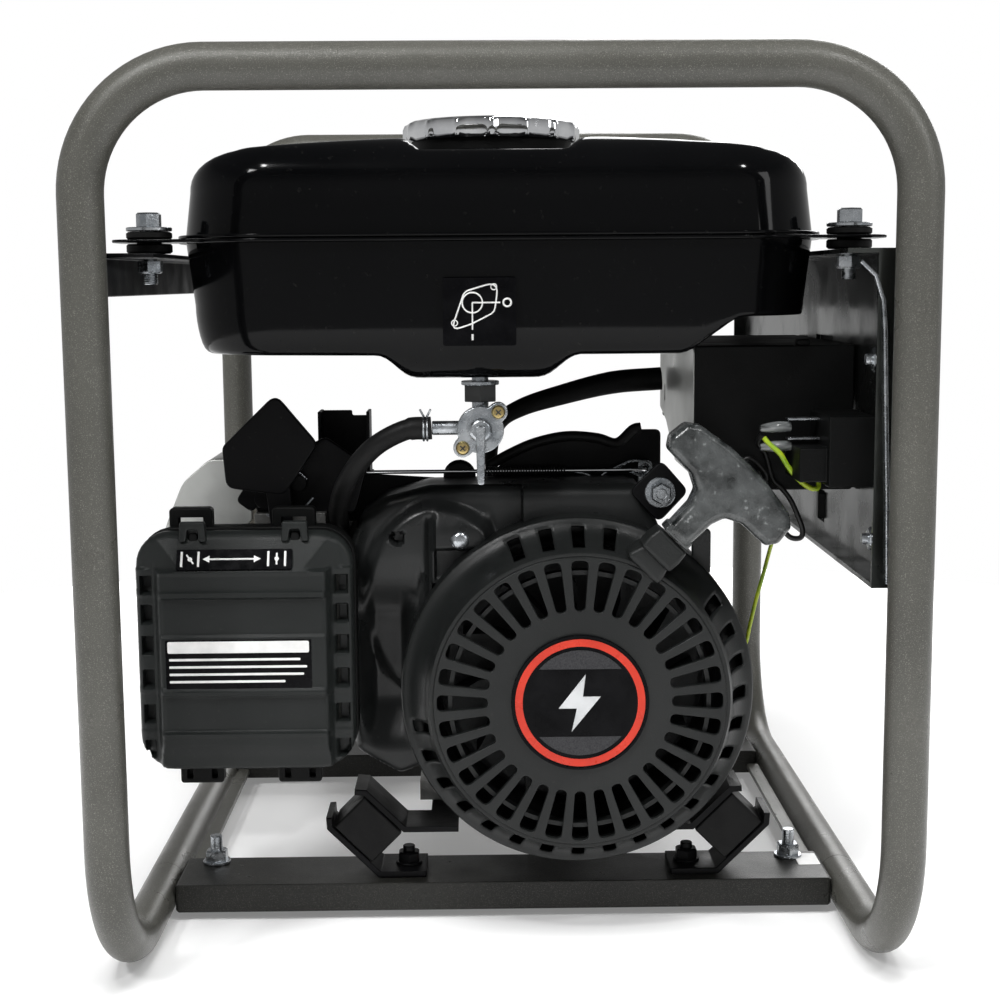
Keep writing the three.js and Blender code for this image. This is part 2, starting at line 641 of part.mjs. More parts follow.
add("fan_housing", fanHousing(), blackSteel);
add("recoil_cover", recoilCover(), plastic);
add("rope_pulley", turned(
  [[0, -148.6], [27, -148.6], [27, -146.6], [21, -145], [21, -139], [27, -137.4], [27, -135.4], [0, -135.4]],
  vec(CRANK_X, 0, CRANK_Z), vec(0, 1, 0), 32,
), plastic);
add("pull_handle", pullHandle(), darkPlastic);
add("pull_rope", pullRope, foam);

// ---- Air cleaner ----
const BOX_X = [-166, -67];
const BOX_Z = [89, 201];
const HINGE_TABS = [[-149, -128], [-104, -83]];

function airCleanerCover() {
  const [y0, y1] = [-155, -128];
  const inset = ([a, b], t) => [a + t, b - t];
  const face = plateXZ(roundedRect(inset(BOX_X, 5), inset(BOX_Z, 5), 14), [y0, y0 + 8]);
  const body = plateXZ(roundedRect(BOX_X, BOX_Z, 16), [y0 + 7, y1]);
  const hollow = plateXZ(roundedRect(inset(BOX_X, 2.5), inset(BOX_Z, 2.5), 14), [y0 + 9.5, y1 + 1]);
  const tabs = HINGE_TABS.map((x) => block(x, [y1 - 8, y1], [81, 92]));
  const catches = HINGE_TABS.map(([a, b]) => block([a + 5, b - 5], [y1 - 7, y1], [199, 206]));
  return cut(joined(face, body, ...tabs, ...catches), hollow);
}

function airCleanerBase() {
  const back = plateXZ(roundedRect(BOX_X, BOX_Z, 16), [-127.6, -120]);
  const loops = HINGE_TABS.map((x) => block(x, [-127.6, -120], [196, 207]));
  const hooks = HINGE_TABS.map((x) => block(x, [-127.6, -121], [80, 94]));
  const duct = bar(vec(-100, -121, 165), vec(-100, -111.4, 165), 20, 24);
  const inlet = bar(vec(-100, -130, 165), vec(-100, -110, 165), 13, 20);
  return cut(joined(back, ...loops, ...hooks, duct), inlet);
}

add("air_cleaner_cover", airCleanerCover(), plastic);
add("air_cleaner_base", airCleanerBase(), darkPlastic);
add("air_filter", plateXZ(roundedRect([-158, -75], [97, 193], 10), [-144, -128]), foam);

// ---- Carburettor and controls ----
function carburettor() {
  const throat = bar(vec(-100, -111, 165), vec(-100, -72, 165), 17, 20);
  const bore = bar(vec(-100, -115, 165), vec(-100, -60, 165), 11, 20);
  const bowl = bar(vec(-100, -91, 122), vec(-100, -91, 153), 16, 20);
  const deck = block([-118, -84], [-105.6, -79], [176, 200]);
  const inlet = block([-90, -80], [-88, -80], [166, 174]);
  return cut(joined(throat, bowl, deck, inlet), bore);
}

const CHOKE = { x: -104, z: 190 };
function chokeLever() {
  const [y0, y1] = [-110, -106];
  const paddle = [[CHOKE.x - 3.5, 247], [CHOKE.x + 15.5, 228], [CHOKE.x - 3.5, 209], [CHOKE.x - 22.5, 228]];
  const arm = block([CHOKE.x - 5, CHOKE.x + 5], [y0, y1], [CHOKE.z - 5, 216]);
  return joined(plateXZ(paddle, [y0, y1]), arm);
}

// Lever plates joined by the rod; each is drawn upright from its pivot to the rod.
const ROD_Z = 216.5;
const LEVER_Y = [-77, -75.5];
const GOVERNOR = { x: 72, z: 190.5 };
const THROTTLE = { x: -104.5, z: 196.5 };

function lever({ x, z }) {
  const plate = plateXZ([[x - 4, z - 4], [x + 4, z - 4], [x + 3.5, ROD_Z + 4.5], [x - 3.5, ROD_Z + 4.5]], LEVER_Y);
  return cut(plate, bar(vec(x, LEVER_Y[0] - 1, ROD_Z), vec(x, LEVER_Y[1] + 1, ROD_Z), 2.3, 12));
}

const governorRod = tube(
  bentPath(
    [vec(THROTTLE.x, -75, ROD_Z), vec(THROTTLE.x, -79.6, ROD_Z), vec(GOVERNOR.x, -79.6, ROD_Z), vec(GOVERNOR.x, -75, ROD_Z)],
    [2, 2], 3,
  ), 1, 8,
);

// The black plate behind the rod: an arch over the fan housing, a tab, and two ears near the throttle.
function controlBracket() {
  const plate = plateXZ(
    [
      [-92, 211], [-92, 222], [-20, 218], [-5, 218], [6, 224], [18, 229], [33, 232], [48, 231], [58, 228], [64, 236],
      [80, 236], [80, 213], [70, 213], [70, 187], [0, 187], [-30, 205],
    ], [-73.4, -71.6],
  );
  const ears = [[-90, -88], [-77, -75]].map((x) => block(x, [-73.4, -58], [215, 246]));
  const back = block([-90, -64], [-73.4, -71.6], [215, 246]);
  return joined(plate, ...ears, back);
}

add("carburettor", carburettor(), zinc);
add("choke_lever", chokeLever(), darkPlastic);
add("throttle_lever", lever(THROTTLE), zinc);
add("governor_arm", lever(GOVERNOR), zinc);
add("governor_rod", governorRod, zinc);
add("control_bracket", controlBracket(), blackSteel);

// ---- Exhaust ----
function mufflerGuard() {
  const section = [[-166, 112], [-171, 120], [-171, 185], [-161, 209], [-147, 221], [-126, 221]];
  const skin = plateXZ(strip(section, 1.6), [-54, 132]);
  const front = plateXZ([...section, [-126, 190], [-139, 176], [-139, 112]], [-56, -53.6]);
  return joined(skin, front);
}

const muffler = cut(
  joined(
    plateXZ(roundedRect([-163, -72], [118, 204], 24, 4), [30, 122]),
    block([-96, -74], [24, 32], [152, 176]),
    bar(vec(-118, 120, 161), vec(-118, 138, 161), 10, 16),
  ),
  plateXZ(roundedRect([-161, -74], [120, 202], 22, 4), [32, 120]),
  bar(vec(-118, 115, 161), vec(-118, 140, 161), 8.4, 16),
);

add("muffler", muffler, steel);
add("muffler_guard", mufflerGuard(), zinc);

// ---- Rubber mounts ----
// The front mounts are drawn for the left side, and mirrored about the mounts' own middle.
const MOUNT = { x: -66.3, z: 43.2, mirrorX: 22.15 };
const MOUNT_Y = [-108, -82];
const s = Math.SQRT1_2;
const mountPoint = (n, t) => [MOUNT.x + s * n - s * t, MOUNT.z + s * n + s * t];
const mirrored = (points) => points.map(([x, z]) => [2 * MOUNT.mirrorX - x, z]).reverse();

function mountPieces(flip, armEnd) {
  const side = (points) => (flip ? mirrored(points) : points);
  const rubberBlock = plateXZ(side([mountPoint(-10.6, -13), mountPoint(10.6, -13), mountPoint(10.6, 13), mountPoint(-10.6, 13)]), MOUNT_Y);
  const foot = strip([[-38, 20.4], [-61, 20.4], mountPoint(-12.5, 14), mountPoint(-9, 18)], 3);
  const arm = strip([mountPoint(9, 18), mountPoint(12.5, 14), [-48.4, 43.2], [armEnd, 43.2]], 3);
  const shelfX = [armEnd - 14, armEnd].map((x) => (flip ? 2 * MOUNT.mirrorX - x : x)).sort((a, b) => a - b);
  const shelf = block(shelfX, [MOUNT_Y[1] - 2, -48], [41.7, 44.7]);
  return { rubberBlock, foot: plateXZ(side(foot), MOUNT_Y), arm: joined(plateXZ(side(arm), MOUNT_Y), shelf) };
}

for (const [side, flip, armEnd] of [["left", false, -22], ["right", true, -34]]) {
  const { rubberBlock, foot, arm } = mountPieces(flip, armEnd);
  add(`front_${side}_mount_rubber`, rubberBlock, rubber);
  add(`front_${side}_mount_foot`, foot, blackSteel);
  add(`front_${side}_mount_arm`, arm, blackSteel);
}
add("rear_mount_rubber", bar(vec(CRANK_X, REAR_RAIL_Y, RAIL_TOP + GAP), vec(CRANK_X, REAR_RAIL_Y, 45.6), 14, 20), rubber);

// ---- Electrical ----
function controlBox() {
  const outer = block([88.9, 162.6], [-132, 10], [212.6, 279.6]);
  const inner = block([91.2, 170], [-129.6, 7.6], [215, 277.2]);
  return cut(outer, inner);
}

function socketBody() {
  const { y, z, half } = SOCKET;
  const body = block([132, 166], [y - half, y + half], [z - 15, z + 15]);
  const bezel = block([PANEL_OUT + GAP, 169], [y - half - 6, y + half + 6], [z - half - 4, z + half + 4]);
  const pins = [[-6, 0], [6, 0]].map(([dy, dz]) => bar(vec(150, y + dy, z + dz), vec(175, y + dy, z + dz), 2.4, 10));
  return cut(joined(body, bezel), ...pins);
}

function breakerModule() {
  const body = block([142, 162.6], [-176, -134], [219, 250]);
  const throat = block([130, 142.5], [-172, -138], [221, 236]);
  const collar = bar(vec(162, BREAKER.y, BREAKER.z), vec(164.6, BREAKER.y, BREAKER.z), 4.8, 16);
  return joined(body, throat, collar);
}

// A rocker that tips about a line along Z, in the middle of its hole.
function engineSwitch() {
  const { y, z } = SWITCH;
  return plateXY([[-3, -4.6], [4.5, -5.2], [3, 0], [4.5, 5.2], [-3, 4.6]], [z - 6.6, z + 6.6])
    .rotate([0, 0, -7])
    .translate([PANEL_OUT - 1, y, 0]);
}

const harnessPath = new THREE.CatmullRomCurve3([
  vec(-3, -36, 189), vec(-4, -36, 220), vec(0, -34, 236), vec(12, -30, 244), vec(33, -24, 250), vec(60, -20, 256),
  vec(86, -20, 258),
]).getSpacedPoints(16);

add("control_box", controlBox(), darkPlastic);
add("ac_socket", socketBody(), darkPlastic);
add("breaker_module", breakerModule(), darkPlastic);
add("breaker_button", bar(vec(165, BREAKER.y, BREAKER.z), vec(171, BREAKER.y, BREAKER.z), BREAKER.r, 16), darkPlastic);
add("engine_switch", engineSwitch(), plastic);
add("wiring_harness", tube(harnessPath, 6, 10), rubber);

export default generator;
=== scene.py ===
"""Looks for the portable generator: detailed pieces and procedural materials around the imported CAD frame.

Positions inside this file are in millimetres in the CAD's frame: +X right of the recoil end, -Y out of it, +Z up.
"""
import math

import bmesh
import bpy
import numpy as np
from mathutils import Matrix, Vector


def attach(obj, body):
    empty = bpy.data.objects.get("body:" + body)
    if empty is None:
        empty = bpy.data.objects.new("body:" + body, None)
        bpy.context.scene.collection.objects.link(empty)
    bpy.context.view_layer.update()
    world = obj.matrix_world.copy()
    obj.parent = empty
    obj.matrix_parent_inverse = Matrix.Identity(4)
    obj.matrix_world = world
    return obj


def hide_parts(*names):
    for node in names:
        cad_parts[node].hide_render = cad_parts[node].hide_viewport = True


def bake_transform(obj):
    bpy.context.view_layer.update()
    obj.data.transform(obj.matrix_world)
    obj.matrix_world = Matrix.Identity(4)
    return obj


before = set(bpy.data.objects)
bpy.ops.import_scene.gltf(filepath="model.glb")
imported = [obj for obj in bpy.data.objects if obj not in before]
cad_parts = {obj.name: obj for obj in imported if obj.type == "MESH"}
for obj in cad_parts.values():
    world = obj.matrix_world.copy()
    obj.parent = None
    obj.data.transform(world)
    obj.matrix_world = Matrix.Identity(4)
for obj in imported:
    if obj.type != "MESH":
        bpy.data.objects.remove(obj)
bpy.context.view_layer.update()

# ---- Sizes shared by several pieces ----
TUBE_R = 9.5
TUBE_X = 170.5
HOOP_Y = 207.5
TOP_Z = 395.5
SPLICE_Y = -84
CRANK = Vector((35, 0, 118))
CAP = Vector((-3, -70, 0))
TANK_HALF = 142.5
TANK_Y = (-165, 150)
VALVE = Vector((-9.5, -140, 243.5))
HANDLE = Vector((102.5, -150, 218.7))
COVER_X = (-167.2, -68.2)
COVER_Z = (87.6, 197.6)
TANK_BOLT_X = 155
TANK_BOLT_Y = {"front": -148, "rear": 133}
RAIL_TOP = 18.6
END_BOLT_ANGLES = (45, 135, 225, 315)
DIAGONAL = math.sqrt(0.5)
MM = 1000  # millimetres in Blender's metre
BEVEL_ABOVE = 32  # degrees between faces that get a rounded edge

X, Y, Z = Vector((1, 0, 0)), Vector((0, 1, 0)), Vector((0, 0, 1))


# ---- Materials ----
DUST_COLOUR = (0.32, 0.31, 0.28, 1)
DUST_SCALE = 420
BUMP_DEPTH = 0.0004  # metres


def mix_node(tree, factor, a, b):
    node = tree.nodes.new("ShaderNodeMix")
    node.data_type = "RGBA"
    for socket, value in ((node.inputs[0], factor), (node.inputs[6], a), (node.inputs[7], b)):
        if isinstance(value, bpy.types.NodeSocket):
            tree.links.new(value, socket)
        else:
            socket.default_value = value
    return node.outputs[2]


def noise(tree, coords, scale, detail=4, stretch=None):
    if stretch:
        mapping = tree.nodes.new("ShaderNodeMapping")
        mapping.inputs["Scale"].default_value = stretch
        tree.links.new(coords, mapping.inputs["Vector"])
        coords = mapping.outputs[0]
    node = tree.nodes.new("ShaderNodeTexNoise")
    node.inputs["Scale"].default_value = scale
    node.inputs["Detail"].default_value = detail
    tree.links.new(coords, node.inputs["Vector"])
    return node.outputs["Fac"]


def remap(tree, value, low, high, to_low=0.0, to_high=1.0):
    node = tree.nodes.new("ShaderNodeMapRange")
    for key, number in (("From Min", low), ("From Max", high), ("To Min", to_low), ("To Max", to_high)):
        node.inputs[key].default_value = number
    tree.links.new(value, node.inputs["Value"])
    return node.outputs[0]


def material(
    name, base, rough, metal=0.0, *, second=None, mottle=25, fleck=None, fleck_size=900,
    fleck_from=0.62, spread=0.08, bump=0.0, bump_size=600, stretch=None, coat=0.0, coat_rough=0.08, dust=0.0,
    specular=0.5,
):
    """Base colour that wanders to second over mottle-sized clouds, with bright flecks, dust and a bumpy skin."""
    mat = bpy.data.materials.new(name)
    mat.use_nodes = True
    tree = mat.node_tree
    shader = tree.nodes["Principled BSDF"]
    coords = tree.nodes.new("ShaderNodeTexCoord").outputs["Object"]
    second = second or tuple(c * 0.72 for c in base)
    clouds = noise(tree, coords, mottle, 6, stretch)
    colour = mix_node(tree, remap(tree, clouds, 0.35, 0.68), (*base, 1), (*second, 1))
    if fleck:
        flecks = remap(tree, noise(tree, coords, fleck_size, 2), fleck_from, fleck_from + 0.1)
        colour = mix_node(tree, flecks, colour, (*fleck, 1))
    if dust:
        specks = remap(tree, noise(tree, coords, DUST_SCALE, 8), 0.66, 0.78, 0, dust)
        colour = mix_node(tree, specks, colour, DUST_COLOUR)
    tree.links.new(colour, shader.inputs["Base Color"])
    rough_value = remap(tree, noise(tree, coords, mottle * 3, 5, stretch), 0.3, 0.7, max(rough - spread, 0.02),
        rough + spread)
    tree.links.new(rough_value, shader.inputs["Roughness"])
    shader.inputs["Metallic"].default_value = metal
    shader.inputs["Specular IOR Level"].default_value = specular
    shader.inputs["Coat Weight"].default_value = coat
    shader.inputs["Coat Roughness"].default_value = coat_rough
    if bump:
        node = tree.nodes.new("ShaderNodeBump")
        node.inputs["Strength"].default_value = bump
        node.inputs["Distance"].default_value = BUMP_DEPTH
        tree.links.new(noise(tree, coords, bump_size, 3, stretch), node.inputs["Height"])
        tree.links.new(node.outputs[0], shader.inputs["Normal"])
    return mat


M = {
    "frame": material("frame_paint", (0.084, 0.083, 0.073), 0.33, 0.1, second=(0.066, 0.065, 0.057), mottle=14,
        specular=0.4, fleck=(0.17, 0.166, 0.148), fleck_size=2300, fleck_from=0.57, bump=0.3, bump_size=1800),
    # The cross rails' paint is the frame's paint darkened: painted shade for their shadowed top and front.
    "rail": material("rail_shaded_frame_paint", (0.013, 0.013, 0.0115), 0.34, 0.1, second=(0.008, 0.008, 0.007), mottle=14,
        fleck=(0.05, 0.049, 0.043), fleck_size=2300, fleck_from=0.57, bump=0.3, bump_size=1800,
        specular=0.25),
    "enamel": material("black_enamel", (0.0016, 0.0017, 0.002), 0.1, second=(0.0026, 0.0027, 0.003), mottle=9,
        spread=0.05, specular=0.12, dust=0.03),
    "shroud": material("shroud_paint", (0.0125, 0.0135, 0.0135), 0.33, second=(0.008, 0.0085, 0.0085), mottle=18,
        bump=0.2, bump_size=900, dust=0.05, specular=0.3),
    "black_steel": material("black_steel", (0.004, 0.004, 0.0045), 0.38, mottle=22, bump=0.2, dust=0.03,
        specular=0.1),
    "cover": material("cover_plastic", (0.0125, 0.0142, 0.0138), 0.4, second=(0.0085, 0.0098, 0.0095), mottle=20,
        bump=0.3, bump_size=1600, dust=0.03, specular=0.22),
    "recoil": material("recoil_plastic", (0.0118, 0.0128, 0.0126), 0.36, second=(0.0075, 0.0083, 0.0083), mottle=22,
        bump=0.25, bump_size=1500, dust=0.04, specular=0.26),
    "dark_plastic": material("dark_plastic", (0.0035, 0.0037, 0.0037), 0.5, mottle=20, bump=0.25, bump_size=1200,
        dust=0.02, specular=0.12),
    "handle": material("handle_plastic", (0.068, 0.073, 0.073), 0.26, second=(0.006, 0.0075, 0.0075), mottle=110,
        spread=0.14, fleck=(0.2, 0.21, 0.21), fleck_size=330, fleck_from=0.66, bump=0.6, bump_size=300,
        coat=0.25, coat_rough=0.2),
    "rubber": material("rubber", (0.005, 0.005, 0.0052), 0.5, second=(0.0085, 0.0085, 0.0085), mottle=40, bump=0.3,
        dust=0.03, specular=0.14),
    "cast": material("cast_aluminium", (0.26, 0.26, 0.25), 0.5, 0.8, second=(0.15, 0.15, 0.145), mottle=16,
        bump=0.7, bump_size=700, dust=0.2),
    "dark_cast": material("dark_cast", (0.03, 0.031, 0.031), 0.45, 0.5, mottle=30, bump=0.5, bump_size=700),
    "zinc": material("zinc_plate", (0.5, 0.52, 0.54), 0.26, 0.95, second=(0.24, 0.26, 0.28), mottle=90, spread=0.14,
        bump=0.3, bump_size=900),
    "yellow_zinc": material("yellow_zinc", (0.55, 0.46, 0.2), 0.28, 0.95, second=(0.4, 0.3, 0.13), mottle=120),
    "chrome": material("chrome", (0.86, 0.87, 0.88), 0.07, 1.0, second=(0.66, 0.67, 0.69), mottle=60, spread=0.04),
    "galvanised": material("galvanised", (0.68, 0.69, 0.67), 0.36, 0.85, second=(0.5, 0.51, 0.49), mottle=9,
        spread=0.12, bump=0.15, bump_size=300, dust=0.03),
    "panel_zinc": material("panel_zinc", (0.09, 0.095, 0.09), 0.22, 0.95, second=(0.02, 0.023, 0.022), mottle=11,
        spread=0.14, bump=0.1, bump_size=200),
    "muffler": material("muffler_steel", (0.45, 0.44, 0.4), 0.36, 0.9, second=(0.26, 0.22, 0.17), mottle=7,
        spread=0.12, bump=0.25, bump_size=500, dust=0.2),
    "steel": material("lamination_steel", (0.28, 0.28, 0.29), 0.4, 0.9, second=(0.17, 0.16, 0.16), mottle=30,
        stretch=(1, 40, 1), bump=0.6, bump_size=60),
    "copper": material("copper_winding", (0.42, 0.17, 0.07), 0.35, 0.9, second=(0.25, 0.1, 0.05), mottle=40,
        stretch=(1, 1, 12), bump=0.7, bump_size=120),
    "foam": material("foam", (0.02, 0.02, 0.018), 0.95, mottle=200, bump=1.0, bump_size=1200),
    "rope": material("starter_rope", (0.4, 0.4, 0.37), 0.8, second=(0.22, 0.22, 0.2), mottle=500, bump=0.9,
        bump_size=700),
    "red": material("decal_red", (0.56, 0.035, 0.015), 0.3, second=(0.46, 0.026, 0.012), mottle=60, specular=0.3),
    "decal_black": material("decal_black", (0.0014, 0.0014, 0.0018), 0.25, second=(0.004, 0.004, 0.0047), mottle=90,
        specular=0.06),
    "decal_grey": material("decal_grey", (0.045, 0.045, 0.048), 0.4, second=(0.02, 0.02, 0.022), mottle=1800,
        specular=0.15),
    "white": material("print_white", (0.78, 0.78, 0.77), 0.45, second=(0.68, 0.68, 0.67), mottle=150),
    "silver_print": material("print_silver", (0.6, 0.61, 0.62), 0.35, 0.3, second=(0.36, 0.37, 0.38), mottle=45),
    "earth": material("earth_wire", (0.48, 0.55, 0.015), 0.4, second=(0.2, 0.34, 0.012), mottle=120),
    "wire": material("black_wire", (0.004, 0.004, 0.004), 0.42, mottle=120, specular=0.4),
    "sleeve": material("clear_sleeve", (0.2, 0.21, 0.21), 0.12, second=(0.025, 0.026, 0.026), mottle=220,
        stretch=(0.4, 1, 2.4), coat=0.8),
}


def add_object(name, data):
    obj = bpy.data.objects.new(name, data)
    bpy.context.collection.objects.link(obj)
    return obj


def shape_mesh(name, shape, mat):
    """A mesh in metres from a shape in millimetres."""
    mesh = bpy.data.meshes.new(name)
    mesh.from_pydata([(x / MM, y / MM, z / MM) for x, y, z in shape[0]], [], shape[1])
    mesh.materials.append(M[mat])
    return mesh


# ---- Shapes: (vertices in millimetres, faces) ----
def join(*shapes):
    verts, faces = [], []
    for v, f in shapes:
        faces += [tuple(i + len(verts) for i in face) for face in f]
        verts += [tuple(p) for p in v]
    return verts, faces


def transform(shape, matrix):
    return [tuple(matrix @ Vector(v)) for v in shape[0]], shape[1]


def grid_faces(rows, columns, wrap_rows=False, wrap_columns=True, keep=None):
    faces = []
    for i in range(rows if wrap_rows else rows - 1):
        for j in range(columns if wrap_columns else columns - 1):
            if keep and not keep(i, j):
                continue
            a, b = i * columns + j, i * columns + (j + 1) % columns
            c, d = ((i + 1) % rows) * columns + (j + 1) % columns, ((i + 1) % rows) * columns + j
            faces.append((a, b, c, d))
    return faces


def lathe(profile, origin, axis, sides=48):
    """A profile of (radius, distance) turned round the line from origin along axis. A repeated end closes it."""
    closed = profile[0] == profile[-1]
    profile = profile[:-1] if closed else profile
    turn = Vector(axis).to_track_quat("Z", "Y")
    origin = Vector(origin)
    verts = []
    for r, d in profile:
        for k in range(sides):
            a = 2 * math.pi * (k + 0.5) / sides
            verts.append(tuple(turn @ Vector((r * math.cos(a), r * math.sin(a), d)) + origin))
    faces = grid_faces(len(profile), sides, wrap_rows=closed)
    if not closed:
        last = (len(profile) - 1) * sides
        faces += [tuple(reversed(range(sides))), tuple(last + k for k in range(sides))]
    return verts, faces


def rod(a, b, radius, sides=24, chamfer=0.3):
    length = (Vector(b) - Vector(a)).length
    c = min(chamfer, radius / 2, length / 2)
    profile = [(radius - c, 0), (radius, c), (radius, length - c), (radius - c, length)]
    return lathe(profile, a, Vector(b) - Vector(a), sides)


def sweep(points, radius, sides=20):
    """A round section carried along points without twisting. radius may be one number or one for each point."""
    points = [Vector(p) for p in points]
    radii = radius if hasattr(radius, "__len__") else [radius] * len(points)
    tangents = [(points[min(i + 1, len(points) - 1)] - points[max(i - 1,
        0)]).normalized() for i in range(len(points))]
    normal = tangents[0].orthogonal().normalized()
    verts = []
    for i, (p, t) in enumerate(zip(points, tangents)):
        if i:
            normal = tangents[i - 1].rotation_difference(t) @ normal
        side = t.cross(normal)
        for k in range(sides):
            a = 2 * math.pi * k / sides
            verts.append(tuple(p + radii[i] * (math.cos(a) * normal + math.sin(a) * side)))
    last = (len(points) - 1) * sides
    caps = [tuple(reversed(range(sides))), tuple(last + k for k in range(sides))]
    return verts, grid_faces(len(points), sides) + caps


def spline(points, count=40):
    """Points evenly numbered along a smooth curve through the given ones."""
    p = [Vector(q) for q in points]
    p = [2 * p[0] - p[1], *p, 2 * p[-1] - p[-2]]
    out = []
    spans = len(p) - 3
    for n in range(count + 1):
        at = min(n * spans / count, spans - 1e-6)
        i, t = int(at), at - int(at)
        a, b, c, d = p[i : i + 4]
        out.append(0.5 * (2 * b + (c - a) * t + (2 * a - 5 * b + 4 * c - d) * t**2 + (3 * b - a - 3 * c + d) * t**3))
    return out


def bent(corners, radii, steps=14):
    """Straights through corners, each inner corner turned with its own radius."""
    corners = [Vector(c) for c in corners]
    points = [corners[0]]
    for i in range(1, len(corners) - 1):
        back = (corners[i - 1] - corners[i]).normalized()
        on = (corners[i + 1] - corners[i]).normalized()
        half = back.angle(on) / 2
        r = radii[i - 1] if hasattr(radii, "__len__") else radii
        centre = corners[i] + (back + on).normalized() * (r / math.sin(half))
        start = corners[i] + back * (r / math.tan(half)) - centre
        axis = back.cross(on).normalized()
        for k in range(steps + 1):
            turn = Matrix.Rotation(-(math.pi - 2 * half) * k / steps, 3, axis)
            points.append(turn @ start + centre)
    return [*points, corners[-1]]


def arc(cx, cy, r, start, end, steps=12):
    angles = [math.radians(start + (end - start) * k / steps) for k in range(steps + 1)]
    return [(cx + r * math.cos(a), cy + r * math.sin(a)) for a in angles]


def circle(cx, cy, r, count=120):
    return arc(cx, cy, r, 0, 360 - 360 / count, count - 1)


def rounded_rect(x, y, r, steps=8):
    (x0, x1), (y0, y1) = x, y
    return [
        *arc(x1 - r, y0 + r, r, -90, 0, steps), *arc(x1 - r, y1 - r, r, 0, 90, steps),
        *arc(x0 + r, y1 - r, r, 90, 180, steps), *arc(x0 + r, y0 + r, r, 180, 270, steps),
    ]


def fillet(points, r, steps=5):
    """A closed outline with each corner rounded to r, or less where its sides are short."""
    out = []
    n = len(points)
    for i in range(n):
        p = Vector(points[i])
        a, b = Vector(points[i - 1]) - p, Vector(points[(i + 1) % n]) - p
        angle = a.angle(b)
        if angle > math.radians(172):
            out.append(tuple(p))
            continue
        cut = min(r / math.tan(angle / 2), a.length * 0.48, b.length * 0.48)
        p0, p1 = p + a.normalized() * cut, p + b.normalized() * cut
        for k in range(steps + 1):
            t = k / steps
            out.append(tuple((1 - t) ** 2 * p0 + 2 * t * (1 - t) * p + t**2 * p1))
    return out


PLANES = {
    "XZ": Matrix(((1, 0, 0, 0), (0, 0, -1, 0), (0, 1, 0, 0), (0, 0, 0, 1))),
    "YZ": Matrix(((0, 0, 1, 0), (1, 0, 0, 0), (0, 1, 0, 0), (0, 0, 0, 1))),
    "XY": Matrix.Identity(4),
}


def plate(outlines, span, plane="XZ", edge=0.4, rounding=2):
    """A flat outline, with any further outlines as holes, as thick as span, with rounded edges."""
    low, high = span
    edge = min(edge, (high - low) * 0.45)
    curve = bpy.data.curves.new("plate", "CURVE")
    curve.dimensions, curve.fill_mode = "2D", "BOTH"
    curve.extrude, curve.offset = (high - low) / 2 - edge, -edge
    curve.bevel_depth, curve.bevel_resolution = edge, rounding
    for outline in outlines:
        line = curve.splines.new("POLY")
        line.points.add(len(outline) - 1)
        for point, (x, y) in zip(line.points, outline):
            point.co = (x, y, 0, 1)
        line.use_cyclic_u = True
    holder = add_object("plate", curve)
    depsgraph = bpy.context.evaluated_depsgraph_get()
    mesh = bpy.data.meshes.new_from_object(holder.evaluated_get(depsgraph))
    middle = (low + high) / 2
    shift = {"XZ": (0, middle, 0), "YZ": (middle, 0, 0), "XY": (0, 0, middle)}[plane]
    matrix = Matrix.Translation(shift) @ PLANES[plane]
    shape = [tuple(matrix @ v.co) for v in mesh.vertices], [tuple(p.vertices) for p in mesh.polygons]
    bpy.data.objects.remove(holder)
    bpy.data.curves.remove(curve)
    bpy.data.meshes.remove(mesh)
    return shape


def slab(x, y, r, *span, **edges):
    """A plate with a rounded rectangle for its outline."""
    return plate([rounded_rect(x, y, r)], *span, **edges)


def sheet(corners, r, *span, **edges):
    """A plate with the corners of its outline rounded."""
    return plate([fillet(corners, r)], *span, **edges)


